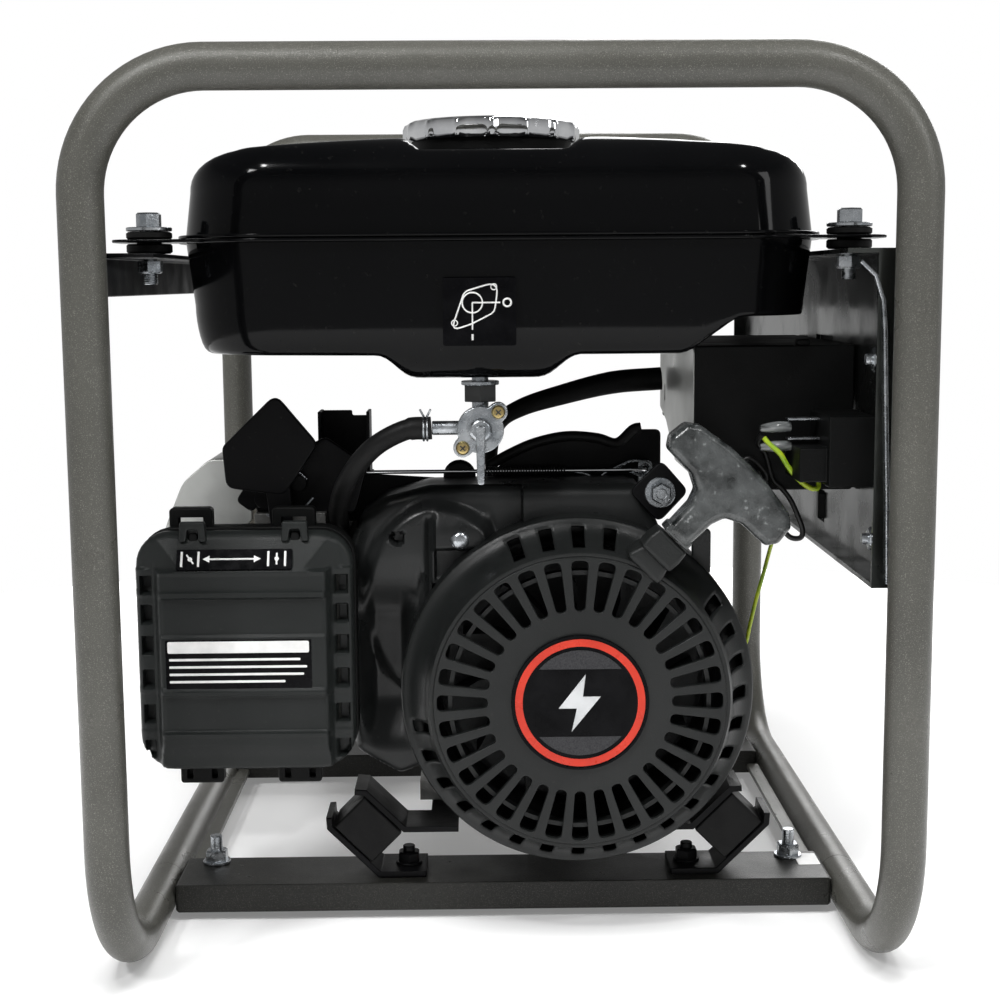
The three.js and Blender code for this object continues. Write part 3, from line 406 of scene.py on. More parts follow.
def relief(outline, depth, back, pitch, edge, hole=None):
    """A closed body whose front's Y is depth(x, z), rounded over at the outline and at the round hole."""
    corners = np.array(outline)
    ends = np.roll(corners, -1, axis=0)
    along = ends - corners
    length2 = np.maximum((along**2).sum(1), 1e-9)
    (x0, z0), (x1, z1) = corners.min(0), corners.max(0)
    nx, nz = int((x1 - x0) / pitch) + 2, int((z1 - z0) / pitch) + 2
    gx, gz = np.meshgrid(np.linspace(x0, x1, nx), np.linspace(z0, z1, nz))
    points = np.stack([gx.ravel(), gz.ravel()], 1)
    near, gap, crossings = np.zeros_like(points), np.full(len(points), 1e9), np.zeros(len(points), int)
    for a, b, v, l2 in zip(corners, ends, along, length2):
        t = np.clip(((points - a) @ v) / l2, 0, 1)
        foot = a + t[:, None] * v
        d = np.hypot(*(points - foot).T)
        closer = d < gap
        gap[closer], near[closer] = d[closer], foot[closer]
        spans = (a[1] > points[:, 1]) != (b[1] > points[:, 1])
        if abs(v[1]) > 1e-9:
            crossings += spans & (points[:, 0] < a[0] + (points[:, 1] - a[1]) * v[0] / v[1])
    inside = crossings % 2 == 1
    points[~inside] = near[~inside]
    gap[~inside] = 0
    used = inside.copy()
    if hole:
        cx, cz, r = hole
        away = points - (cx, cz)
        far = np.hypot(*away.T)
        within = far < r
        points[within] = (cx, cz) + away[within] * (r / np.maximum(far[within], 1e-6))[:, None]
        gap = np.minimum(gap, np.abs(np.where(within, 0, far - r)))
        used &= ~within
    lip = edge * (1 - np.sqrt(np.clip(1 - (1 - np.clip(gap / edge, 0, 1)) ** 2, 0, 1)))
    y = np.minimum(depth(points[:, 0], points[:, 1]) + lip, back - 0.5)
    verts = [(p[0], h, p[1]) for p, h in zip(points, y)]
    used = used.reshape(nz, nx)
    keep = lambda i, j: used[i, j] or used[i + 1, j] or used[i, j + 1] or used[i + 1, j + 1]
    front = verts, grid_faces(nz, nx, wrap_columns=False, keep=keep)
    loops = [outline] + ([circle(*hole)] if hole else [])
    rims = []
    for loop in loops:
        loop = np.array(loop)
        top = np.minimum(depth(loop[:, 0], loop[:, 1]) + edge, back - 0.5)
        rim = [(p[0], h, p[1]) for p, h in zip(loop, top)] + [(p[0], back, p[1]) for p in loop]
        rims.append((rim, grid_faces(2, len(loop))))
    return join(front, *rims, plate(loops, (back - 1, back), edge=0.1))


def strip(points, thickness):
    """The outline of a bent strip of sheet from its middle line."""
    p = [Vector(q) for q in points]
    sides = ([], [])
    for i in range(len(p)):
        into = (p[i] - p[max(i - 1, 0)]) if i else (p[1] - p[0])
        on = (p[min(i + 1, len(p) - 1)] - p[i]) if i < len(p) - 1 else into
        normal = (into.normalized() + on.normalized()).normalized()
        normal = Vector((-normal.y, normal.x))
        half = thickness / 2 / max(normal.dot(Vector((-into.y, into.x)).normalized()), 0.3)
        sides[0].append(tuple(p[i] + normal * half))
        sides[1].append(tuple(p[i] - normal * half))
    return sides[0] + sides[1][::-1]


def hexagon(seat, axis, width, height, washer=0.0, dome=0.8):
    """A hexagon head or nut standing on seat, with an optional flat washer under it."""
    axis = Vector(axis).normalized()
    parts = []
    base = Vector(seat)
    if washer:
        parts.append(rod(base, base + axis * 1.2, washer, 32, 0.25))
        base = base + axis * 1.2
    r = width / 2 / math.cos(math.pi / 6)
    profile = [(r * 0.97, 0), (r, 0.4), (r, height - dome), (r * 0.86, height), (r * 0.3, height)]
    return join(*parts, lathe(profile, base, axis, 6))


def stud_nut(seat, axis, width, height, washer, reach, radius=3):
    """A nut on its washer, with the stud's end standing out of it."""
    seat = Vector(seat)
    return join(hexagon(seat, axis, width, height, washer=washer), rod(seat, seat + axis * reach, radius, 16))


def screw(seat, axis, radius, height=1.8):
    """A pan head, with a cross of thin bars standing on it for its recess."""
    axis = Vector(axis).normalized()
    profile = [(radius, 0), (radius, height * 0.4), (radius * 0.8, height * 0.85), (radius * 0.35, height)]
    head = lathe(profile, seat, axis, 24)
    side = axis.orthogonal().normalized()
    other = axis.cross(side)
    top = Vector(seat) + axis * height
    bars = [sweep([top - d * radius * 0.5, top + d * radius * 0.5], 0.35, 6) for d in (side, other)]
    return head, join(*bars)


# ---- Pieces ----
def piece(name, shape, mat, body="frame", hides=None, smooth=38, weld=0.01, thickness=0.0):
    mesh = shape_mesh(name, shape, mat)
    work = bmesh.new()
    work.from_mesh(mesh)
    bmesh.ops.remove_doubles(work, verts=work.verts, dist=weld / MM)
    bmesh.ops.dissolve_degenerate(work, edges=work.edges, dist=1e-7)
    bmesh.ops.recalc_face_normals(work, faces=work.faces)
    work.to_mesh(mesh)
    work.free()
    mesh.polygons.foreach_set("use_smooth", [True] * len(mesh.polygons))
    mesh.set_sharp_from_angle(angle=math.radians(smooth))
    obj = add_object(name, mesh)
    if thickness:
        solid = obj.modifiers.new("sheet", "SOLIDIFY")
        solid.thickness, solid.offset = thickness / MM, -1
    obj.modifiers.new("normals", "WEIGHTED_NORMAL").keep_sharp = True
    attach(obj, body)
    if hides:
        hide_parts(hides)
    return obj


def dress(node, mat, bevel):
    """Gives a carried-over CAD node its material and edges rounded to bevel."""
    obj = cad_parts[node]
    for slot in obj.material_slots:
        slot.material = M[mat]
    if bevel:
        obj.modifiers.new("weld", "WELD").merge_threshold = 1e-6
        edge = obj.modifiers.new("edge", "BEVEL")
        edge.width, edge.segments = bevel / MM, 2
        edge.limit_method, edge.angle_limit = "ANGLE", math.radians(BEVEL_ABOVE)
        edge.harden_normals = True


# ---- Frame ----
def hoop(y, leg_end):
    low, x = TUBE_R, TUBE_X
    corners = [(-x, leg_end, low), (-x, y, low), (-x, y, TOP_Z), (x, y, TOP_Z), (x, y, low), (x, leg_end, low)]
    return sweep(bent(corners, [60, 51, 51, 60], 20), TUBE_R, 40)


def make_frame():
    piece("front_hoop_tube", hoop(-HOOP_Y, SPLICE_Y), "frame", hides="front_hoop")
    piece("rear_hoop_tube", hoop(HOOP_Y, SPLICE_Y + 0.4), "frame", hides="rear_hoop")
    for sign, side in ((-1, "left"), (1, "right")):
        x = sorted((sign * 154, sign * 163))
        rib = sheet([(x[0], -74), (x[1], -74), (x[1], 102), (x[0], 102)], 3, (8.5, 11), "XY", 0.5)
        piece(f"base_rib_{side}", rib, "frame")
        for name, y, reach in (("rail_nut", -82, 14), ("rear_rail_nut", 123, 11)):
            nut = stud_nut((sign * 145, y, RAIL_TOP), Z, 10, 5.5, 7, reach)
            piece(f"{name}_{side}", nut, "zinc", smooth=25)
    sticker = slab((148, 159), (-96, -80), 0.6, (18.5, 18.75), "XY", edge=0.05)
    piece("rail_sticker", sticker, "white")
    gusset = strip([(163.4, 180), (162.6, 215), (161, 258), (160, 288), (159, 300), (155.6, 310.6), (149.3, 316.6)],
        1.7)
    piece("panel_strip", plate([gusset], (-197.4, -195.2), edge=0.5), "zinc")
    for i, z in enumerate((275.3, 198.4)):
        piece(f"panel_bolt_{i}", stud_nut((162.9, -188, z), -X, 9, 5, 7, 9, 2.4), "zinc", smooth=25)


# ---- Tank ----
def tank_ring(grow, step=2.6):
    """The tank's plan outline with each point's outward normal, evenly spread."""
    r = 42.0
    (y0, y1), x = TANK_Y, TANK_HALF
    out = []
    corners = [((x - r, y0 + r), -90), ((x - r, y1 - r), 0), ((-x + r, y1 - r), 90), ((-x + r, y0 + r), 180)]
    for k, ((cx, cy), start) in enumerate(corners):
        for i in range(27):
            a = math.radians(start + 90 * i / 26)
            out.append((cx + r * math.cos(a), cy + r * math.sin(a), math.cos(a), math.sin(a)))
        (nx, ny), _ = corners[(k + 1) % 4]
        a = math.radians(start + 90)
        ax, ay = cx + r * math.cos(a), cy + r * math.sin(a)
        bx, by = nx + r * math.cos(a), ny + r * math.sin(a)
        count = int(math.hypot(bx - ax, by - ay) / step)
        for i in range(1, count):
            t = i / count
            out.append((ax + (bx - ax) * t, ay + (by - ay) * t, math.cos(a), math.sin(a)))
    data = np.array(out)
    data[:, :2] += data[:, 2:] * grow
    return data


def smooth_min(a, b, k):
    h = np.clip(0.5 + 0.5 * (b - a) / k, 0, 1)
    return b * (1 - h) + a * h - k * h * (1 - h)


def pressing(height, depths):
    """Rings of the tank's plan, each further in, with heights from height(x, y, distance in)."""
    ring = tank_ring(0)
    rows = []
    for d in depths:
        inward = min(d, 40)
        x = ring[:, 0] - ring[:, 2] * inward
        y = ring[:, 1] - ring[:, 3] * inward
        x = np.clip(x, -TANK_HALF + d, TANK_HALF - d)
        y = np.clip(y, TANK_Y[0] + d, TANK_Y[1] - d)
        rows.append(np.stack([x, y, height(x, y, d)], 1))
    verts = [tuple(v) for row in rows for v in row]
    n = len(ring)
    last = (len(rows) - 1) * n
    return verts, [*grid_faces(len(rows), n), tuple(last + k for k in range(n))]


def quarter(d, start, run, rise):
    """Height gained over a quarter ellipse that starts steep at start."""
    t = np.clip((d - start) / run, 0, 1)
    return rise * np.sqrt(np.clip(1 - (1 - t) ** 2, 0, 1))


def upper_height(x, y, d):
    base, wall = 330.4, 2.4
    side = TANK_HALF - np.abs(x)
    climb = lambda t: base + 19 * np.clip(t / wall, 0, 1)
    plan = climb(d) + quarter(d, wall, 24, 23.6)
    crown = climb(side) + quarter(side, wall, 32, 18) + 5.5 * np.clip((side - 26) / 70, 0, 1) ** 0.8
    z = smooth_min(plan, crown, 1.5)
    dx, dy = x - CAP.x, y - CAP.y
    well = np.hypot(dx, dy) - 52
    way = np.where(dy < 0, np.abs(dx) - 41.5, 99)
    inside = np.minimum(well, way)
    sunk = 366.6 + 8.2 * np.clip((inside + 9) / 9, 0, 1) + 99 * np.clip(inside / 4, 0, 1)
    return smooth_min(z, sunk, 1.2)


def lower_height(x, y, d):
    xs = [-150, -52, -40, 19, 32, 82, 104, 150]
    zs = [278, 277, 265, 265, 277, 277, 293.3, 293.5]
    belly = sum(np.interp(x + s, xs, zs) for s in (-3, -1.5, 0, 1.5, 3)) / 5
    wall = 326.8 - 27 * np.clip(d / 3.2, 0, 1) - quarter(np.asarray(d, float), 3.2, 19, 35)
    wall = np.broadcast_to(wall, np.shape(x))
    return -smooth_min(-wall, -belly, 6)


def seam_flange(z0, z1, grow, ears):
    outline = [(p[0], p[1]) for p in tank_ring(grow, 8)]
    parts = [plate([outline], (z0, z1), "XY", 0.6)]
    if ears:
        for sign in (-1, 1):
            for y in TANK_BOLT_Y.values():
                x = sorted((sign * 128, sign * 170))
                hole = circle(sign * TANK_BOLT_X, y, 6, 24)
                parts.append(plate([rounded_rect(x, (y - 15, y + 15), 9), hole], (z0 + 0.1, z1 - 0.1), "XY", 0.5))
    return join(*parts)


def make_tank():
    walls = [0, 0.5, 1.1, 1.7, 2.4]
    tops = [2.4 + 32 * (1 - math.cos(math.radians(a))) for a in range(6, 91, 6)]
    inner = [34.4 + 2.6 * k for k in range(1, 42)]
    upper = join(pressing(upper_height, walls + tops + inner), seam_flange(329.0, 330.6, 3.5, False))
    piece("tank_top_pressing", upper, "enamel", hides="tank_upper_shell", smooth=60)
    bends = [3.2 + 19 * (1 - math.cos(math.radians(a))) for a in range(6, 91, 6)]
    below = join(
        pressing(lower_height, [0, 0.8, 1.6, 2.4, 3.2] + bends + [22.2 + 3 * k for k in range(1, 40)]),
        seam_flange(327.0, 328.6, 3.5, True),
    )
    piece("tank_bottom_pressing", below, "enamel", hides="tank_lower_shell", smooth=60)
    for side, sign in (("left", -1), ("right", 1)):
        for end, y in TANK_BOLT_Y.items():
            make_tank_bolt(f"{end}_{side}", sign * TANK_BOLT_X, y)
    neck = lathe([(30, 364.6), (34, 364.6), (34, 376), (33.4, 376.4), (30.6, 376.4), (30, 376), (30, 364.6)],
        (CAP.x, CAP.y, 0), Z, 64)
    piece("filler_neck_ring", neck, "zinc")
    valve_label()


def make_tank_bolt(tag, x, y):
    seat = Vector((x, y, 0))
    bush = lathe(
        [(3.6, 322.5), (9, 322.5), (10, 323.3), (10, 326), (9.4, 326.7), (5.4, 326.8), (5.4, 328.8), (9.4, 328.9),
        (10, 329.5), (10, 331.4), (9, 332), (3.6, 332), (3.6, 322.5)], seat, Z, 40)
    piece(f"bush_{tag}", bush, "rubber", hides=f"tank_bush_{tag}")
    parts = [
        lathe([(3, 332.3), (9.6, 332.3), (10, 332.6), (10, 333.7), (9.6, 334), (3, 334)], seat, Z, 40),
        hexagon((x, y, 334.1), Z, 10, 6.3),
        rod((x, y, 309), (x, y, 333), 3, 20),
        hexagon((x, y, 319.4), -Z, 10, 5.6),
        *[lathe([(2.95, z), (3.2, z + 0.25), (2.95, z + 0.5)], seat, Z, 16) for z in (309.6, 310.6, 311.6, 312.6)],
    ]
    piece(f"bolt_{tag}", join(*parts), "zinc", hides=f"tank_bolt_{tag}", smooth=25)


def make_cap():
    lobes, sides = 16, 384
    levels = [(34.4, 370.6, 0), (38.6, 370.6, 0), (38.8, 375.6, 0), (41.4, 375.8, 0.3), (42.7, 376.6, 1),
        (43, 378.4, 1), (42.9, 382.2, 1), (42, 384.2, 0.7), (39.6, 385.3, 0.25), (34, 385.5, 0), (32, 384.4, 0),
        (0.2, 384.2, 0)]
    verts = []
    for r, z, depth in levels:
        for k in range(sides):
            a = 2 * math.pi * k / sides
            ridge = ((1 + math.cos(a * lobes)) / 2) ** 5
            radius = r - depth * 1.5 * (1 - ridge)
            verts.append((CAP.x + radius * math.cos(a), CAP.y + radius * math.sin(a), z))
    last = (len(levels) - 1) * sides
    faces = [*grid_faces(len(levels), sides), tuple(last + k for k in range(sides))]
    cap = piece("cap_shell", (verts, faces), "chrome", "cap", hides="fuel_cap", smooth=40)
    cap.data.materials.append(M["dark_plastic"])
    for polygon in cap.data.polygons:
        if polygon.center.z < 0.3757:
            polygon.material_index = 1


def valve_label():
    """A blank-framed pictogram of the valve, with no lettering."""
    y = -164.9
    at = lambda shapes, tag, mat: piece(f"valve_label_{tag}", shapes, mat)
    at(slab((-25.5, 6.5), (281.5, 311), 1, (y - 0.25, y + 2.5), edge=0.1), "base", "decal_black")
    y -= 0.35
    lobes = fillet([(-24 + 2, 288), (-16, 305), (-1, 309.5), (-3, 296), (-13, 291)], 4)
    line = lambda pts, w=0.35: sweep([(p[0], y, p[1]) for p in pts], w, 6)
    ring = line(arc(-12.6, 300.2, 4.4, 0, 360, 32))
    parts = [line([*lobes, lobes[0]]), ring, line([(-12.6, 300.2), (-12.6, 288.5)]),
        line([(-12.6, 300.2), (-0.5, 300.2)])]
    parts += [line(arc(-20.4, 291.4, 1.3, 0, 360, 16), 0.25), line(arc(-3.2, 307, 1.3, 0, 360, 16), 0.25)]
    parts += [line([(-12.6, 286.6), (-12.6, 284)], 0.5), line(arc(2.6, 300.2, 1.7, 0, 360, 20), 0.45)]
    at(join(*parts), "lines", "white")


# ---- Fuel valve and hose ----
def make_valve():
    v, front = VALVE, VALVE.y - 13
    lobe_at = [(-8, -8), (8, 8)]
    outline = []
    for k in range(72):
        a = math.radians(5 * k)
        reach = 10.5
        for dx, dz in lobe_at:
            off = math.hypot(dx, dz)
            between = a - math.atan2(dz, dx)
            under = 4.3**2 - (off * math.sin(between)) ** 2
            if under > 0 and math.cos(between) > 0:
                reach = max(reach, off * math.cos(between) + math.sqrt(under))
        outline.append((v.x + reach * math.cos(a), v.z + reach * math.sin(a)))
    parts = [
        plate([outline], (front, front + 3), edge=0.5),
        plate([outline], (front + 3.4, front + 6.4), edge=0.6),
        rod((v.x, front + 5, v.z), (v.x, v.y + 8, v.z), 9, 32),
        rod((v.x, v.y, v.z), (v.x, v.y, 271), 3.8, 20),
        rod((v.x, v.y, 263), (v.x, v.y, 264.8), 8.6, 32),
        rod((v.x, v.y, v.z), (v.x - 22, v.y, v.z), 3.2, 20),
        lathe([(5.6, 0), (6.4, 0), (6.4, 0.8), (5.6, 0.8), (5.6, 0)], (v.x, front - 0.6, v.z), Y, 32),
    ]
    piece("valve_casting", join(*parts), "zinc", hides="fuel_valve")
    piece("valve_nut", hexagon((v.x, v.y, 255.5), Z, 14, 9), "dark_cast", smooth=25)
    for i, (dx, dz) in enumerate(lobe_at):
        head, cross = screw((v.x + dx, front, v.z + dz), -Y, 3.1)
        piece(f"valve_screw_{i}", head, "yellow_zinc")
        # The recess bars are drawn dark: painted shade for the screws' cross recess.
        piece(f"valve_screw_recess_shade_{i}", cross, "dark_cast")
    back = front - 0.4
    hub = lathe([(4.9, 0), (5.1, 0.4), (5.1, 2.4), (4.4, 3.2), (3.4, 3.6)], (v.x, back, v.z), -Y, 32)
    blade = sheet([(v.x - 1.6, v.z - 24), (v.x + 1.6, v.z - 24), (v.x + 2.2, v.z + 2.4),
        (v.x - 2.2, v.z + 2.4)], 1.2,
        (back - 6.4, back - 3), edge=0.7)
    piece("valve_tap", join(hub, blade), "zinc", "valve_lever", hides="fuel_valve_lever")


def make_hose():
    route = [(-31.8, -140, 243.5), (-44, -140, 242.5), (-59, -137, 234), (-71, -129, 219), (-77, -113, 204),
        (-78, -98, 193), (-78.5, -84, 184)]
    path = spline(route, 60)
    radii = [5.2 if i < 9 else 4.7 for i in range(len(path))]
    piece("hose", sweep(path, radii, 28), "rubber", hides="fuel_hose")
    loops = [sweep([(-34.5 + dx, -140 + 5.6 * math.sin(math.radians(a)), 243.4 + 5.6 * math.cos(math.radians(a)))
        for a in range(0, 361, 12)], 0.5, 8) for dx in (-0.8, 0.8)]
    ears = [sweep([(-34.5 + dx, -140, 248.8), (-34.5 + dx * 3, -141, 252)], 0.5, 8) for dx in (-0.8, 0.8)]
    piece("hose_clip", join(*loops, *ears), "zinc")


# ---- Recoil starter ----
def ring(inner, outer, y0, y1):
    return lathe([(inner, y0), (outer, y0), (outer, y1), (inner, y1), (inner, y0)], CRANK, Y, 96)


def radial_slot(inner, outer, half_in, half_out, r, turn):
    """A slot outline on a disc round the crankshaft, wider at its outer end, at turn radians."""
    c, s = math.cos(turn), math.sin(turn)
    wedge = fillet([(inner, -half_in), (outer, -half_out), (outer, half_out), (inner, half_in)], r)
    return [(CRANK.x + a * c - b * s, CRANK.z + a * s + b * c) for a, b in wedge]


def rim_sheet():
    """The recoil cover's conical rim, with its ring of small windows left open."""
    profile = [(66, -150.2), (67.6, -151.2), (69.2, -150.9), (70.2, -149), (70.9, -146.5), (71.8, -143.6),
        (73.2, -140.6),
        (75, -137.6), (77, -135.2), (79, -133.6), (80.6, -132.8), (82, -132.2), (82.8, -131.4), (82.8, -112)]
    sides = 320
    verts = [(CRANK.x + r * math.cos(2 * math.pi * k / sides), y, CRANK.z + r * math.sin(2 * math.pi * k / sides))
        for r, y in profile for k in range(sides)]

    def keep(i, j):
        degrees = 360 * (j + 0.5) / sides
        blocked = 40 < degrees < 74 or 118 < degrees < 187
        return blocked or not (4 <= i <= 8 and (j + 2) % 10 < 4)

    return verts, grid_faces(len(profile), sides, keep=keep)


def make_recoil():
    slots = [radial_slot(42.4, 65.6, 2.3, 4.0, 2.6, 2 * math.pi * k / 32) for k in range(32)]
    disc = plate([circle(CRANK.x, CRANK.z, 67.4), *slots], (-152, -149), edge=0.5, rounding=3)
    hub = plate([circle(CRANK.x, CRANK.z, 39, 60)], (-149.4, -148.8))
    face = join(disc, hub)
    piece("recoil_grille", face, "recoil", hides="recoil_cover", smooth=30)
    piece("recoil_rim", rim_sheet(), "recoil", thickness=1.6, smooth=50)
    # A dark wall behind the rim's windows: painted shade for the cover's shadowed inside seen through them.
    piece("recoil_window_shade_wall", ring(66, 67, -147, -124), "dark_plastic")
    piece("recoil_inner_ring", ring(58.6, 60.6, -148, -142), "recoil")
    guide()
    badge()


def along_pull(p, g, y):
    """The point p along the pull's diagonal and g across it, at depth y."""
    return HANDLE.x + DIAGONAL * (p + g), y, HANDLE.z + DIAGONAL * (p - g)


def handle_outline(points):
    return [(along_pull(p, g, 0)[0], along_pull(p, g, 0)[2]) for p, g in points]


def guide():
    collar = sheet(handle_outline([(-36, -8.6), (-36, 8.6), (-42, 9.4), (-48, 9.0), (-48, -9.0),
        (-42, -9.4)]), 2,
        (-157, -141), edge=2.2, rounding=4)
    piece("rope_guide", collar, "recoil")
    root = sheet(handle_outline([(-46, -7.6), (-46, 7.6), (-56, 11), (-56, -11)]), 3, (-154.6, -134),
        edge=2.5, rounding=4)
    piece("rope_guide_root", root, "recoil")


def badge():
    disc = lambda r, y0, y1: rod((CRANK.x, y0, CRANK.z), (CRANK.x, y1, CRANK.z), r, 96, 0.2)
    piece("badge_base", disc(31.6, -153.4, -151.8), "decal_black")
    piece("badge_ring", ring(26.4, 29.8, -153.6, -153.0), "red")
    piece("badge_rim", ring(30.4, 31.4, -153.9, -153.0), "decal_black")
    for tag, start in (("top", 40), ("bottom", 220)):
        piece(f"badge_field_{tag}", plate([[(x + CRANK.x, z + CRANK.z) for x,
            z in arc(0, 0, 24.6, start, start + 100, 30)]],
            (-153.6, -153.1), edge=0.1), "decal_grey")
    bolt = [(2.5, 13.5), (-10, -2.5), (-1.6, -2.5), (-4, -13.5), (9.4, 3), (1.2, 3)]
    piece("badge_symbol", plate([[(x + CRANK.x, z + CRANK.z) for x, z in bolt]], (-153.75, -153.1), edge=0.2),
        "silver_print")


def make_handle():
    grip = [(-9, -31), (-4, -34.5), (5, -33.5), (9, -28), (11.5, -12), (12, 0), (11.5, 12), (9, 28), (5, 33.5),
        (-4, 34.5), (-9, 31),
            (-9.5, 16), (-13, 9), (-19, 6.8), (-35.2, 6.2), (-35.2, -6.2), (-19, -6.8), (-13, -9), (-9.5, -16)]
    body = sheet(handle_outline(grip), 3.5, (-159, -141), edge=3.4, rounding=5)
    ferrule = sheet(handle_outline([(-31, -7), (-31, 7), (-35.4, 7), (-35.4, -7)]), 1.2, (-158.2, -141.8),
        edge=1, rounding=3)
    piece("grip_moulding", join(body, ferrule), "handle", "starter_grip", hides="pull_handle", smooth=45)
    start, end = (Vector(along_pull(p, 0, HANDLE.y)) for p in (-50, -6))
    path = [start.lerp(end, k / 90) for k in range(91)]
    rope = add_object("rope", shape_mesh("rope", sweep(path, 2.0, 16), "rope"))
    rope.data.polygons.foreach_set("use_smooth", [True] * len(rope.data.polygons))
    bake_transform(rope)
    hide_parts("pull_rope")


# ---- Fan housing ----
def housing_front(x, z):
    """The fan housing's face: a raised pad, a fold beside it and a hollow behind the air cleaner."""
    y = np.full(np.shape(x), -119.4)
    bulge = np.hypot((x + 30) / 36, (z - 156) / 49)
    y = y + 5 * step(1.0, 0.16, bulge) * (x < 10)
    hollow = step(-66, 10, x) * (1 - step(-43, 12, x)) * step(96, 26, z) * (1 - step(160, 22, z))
    y = y + 13 * hollow + 3.5 * (1 - step(-38, 4, x)) * (1 - step(172, 22, z))
    fold = np.exp(-(((x + 34.6) / 1.3) ** 2)) * step(150, 6, z) * (1 - step(199, 4, z))
    y = y + 2.2 * fold
    across = step(-31.5, 2, x) * (1 - step(-6, 6, x))
    y = y - 4.4 * across * step(184, 1.2, z) * (1 - step(199, 14, z))
    y = y + 3.2 * across * step(169, 2, z) * (1 - step(183.4, 1.2, z))
    y = y + 7 * step(-33, 0.8, x) * (1 - step(-15, 0.8, x)) * step(162.2, 0.8, z) * (1 - step(167.4, 0.8, z))
    y = y + 6 * (1 - step(3.0, 0.7, np.hypot(x + 49.3, z - 189.5)))
    return y


def make_housing():
    scroll = [(-72, 84), (-72, 186), (-67, 199), (-55, 208), (-34, 213.5), (20, 214), (66, 214),
        *arc(CRANK.x, CRANK.z, 83, 60, -150, 60), (-50, 71)]
    scroll = fillet(scroll[::-1], 8)
    shell = relief(scroll, housing_front, -78.2, 1.25, 7, hole=(CRANK.x, CRANK.z, 67))
    piece("housing_shell", shell, "shroud", hides="fan_housing", smooth=50)
    duct = [circle(CRANK.x, CRANK.z, 69), circle(CRANK.x, CRANK.z, 60)]
    piece("housing_back_ring", plate(duct, (-80, -77.6), edge=0.2), "dark_cast")
    dome = lathe([(4.6, 0), (4.4, 0.9), (3.2, 1.9), (1.6, 2.3), (0.3, 2.4)], (-19.6, -123.2, 189), -Y, 32)
    piece("housing_stud", dome, "zinc", smooth=60)
    ear = sheet([(60, 211), (75, 226), (88, 211), (74, 196)], 4, (-121.4, -118.6), edge=0.8)
    piece("housing_ear", ear, "black_steel")
    bolt = join(hexagon((74.5, -121.4, 210.6), -Y, 9, 4.8, washer=7.2),
        rod((74.5, -125, 210.6), (74.5, -128.2, 210.6), 2.6, 16))
    piece("housing_bolt", bolt, "zinc", smooth=25)
    piece("housing_tab", sheet([(90, 172), (99, 170), (99, 192), (94, 194), (90, 186)], 2.5, (-119, -116),
        edge=0.8), "shroud")


# ---- Air cleaner ----
def step(edge, width, value):
    t = np.clip((value - edge) / width + 0.5, 0, 1)
    return t * t * (3 - 2 * t)


def cover_depth(x, z):
    """How far back from the front plane the cover's face lies."""
    (x0, x1), (z0, z1) = COVER_X, COVER_Z
    u, w = x - x0, x1 - x
    column = 6.5 * (1 - step(10.5, 4, u)) + 6.5 * (1 - step(10.8, 4, w))
    middle = np.abs(x - (x0 + x1) / 2)
    top = np.clip((z - 180.6) * 0.5, 0, 8)
    flank = np.clip((middle - 27 + (z - 181) * 0.35) * 0.42, 0, 8) * step(181, 1.5, z)
    depth = np.maximum(np.maximum(column, top), flank)
    depth = np.maximum(depth, 3 * (1 - step(96, 10, z)))
    on_face = step(12, 3, u) * step(12.4, 3, w)
    for low, high, rise in ((168.4, 171.6, -1.3), (123.4, 126.6, -1.3), (104.2, 106.2, -0.7), (179.4, 181.2, -0.5)):
        band = step(low, 0.7, z) * (1 - step(high, 0.7, z))
        depth = depth + rise * band * (0.35 + 0.65 * on_face)
    sunk = step(106.4, 1, z) * (1 - step(123.4, 1, z)) + step(151, 1, z) * (1 - step(168.4, 1, z))
    depth = depth + 1.2 * sunk * on_face
    for level in (97, 113.5, 130, 145.5, 160, 173.5):
        tall = step(level - 4, 0.8, z) * (1 - step(level + 4, 0.8, z))
        left = step(2.4, 0.8, u) * (1 - step(7, 0.8, u))
        right = step(2.8, 0.8, w) * (1 - step(8.2, 0.8, w))
        depth = depth + 6 * tall * (left + right)
    return depth


def cover_face():
    outline = rounded_rect(COVER_X, COVER_Z, 15.5)
    return relief(outline, lambda x, z: -155 + cover_depth(x, z), -140.4, 0.7, 3.4)


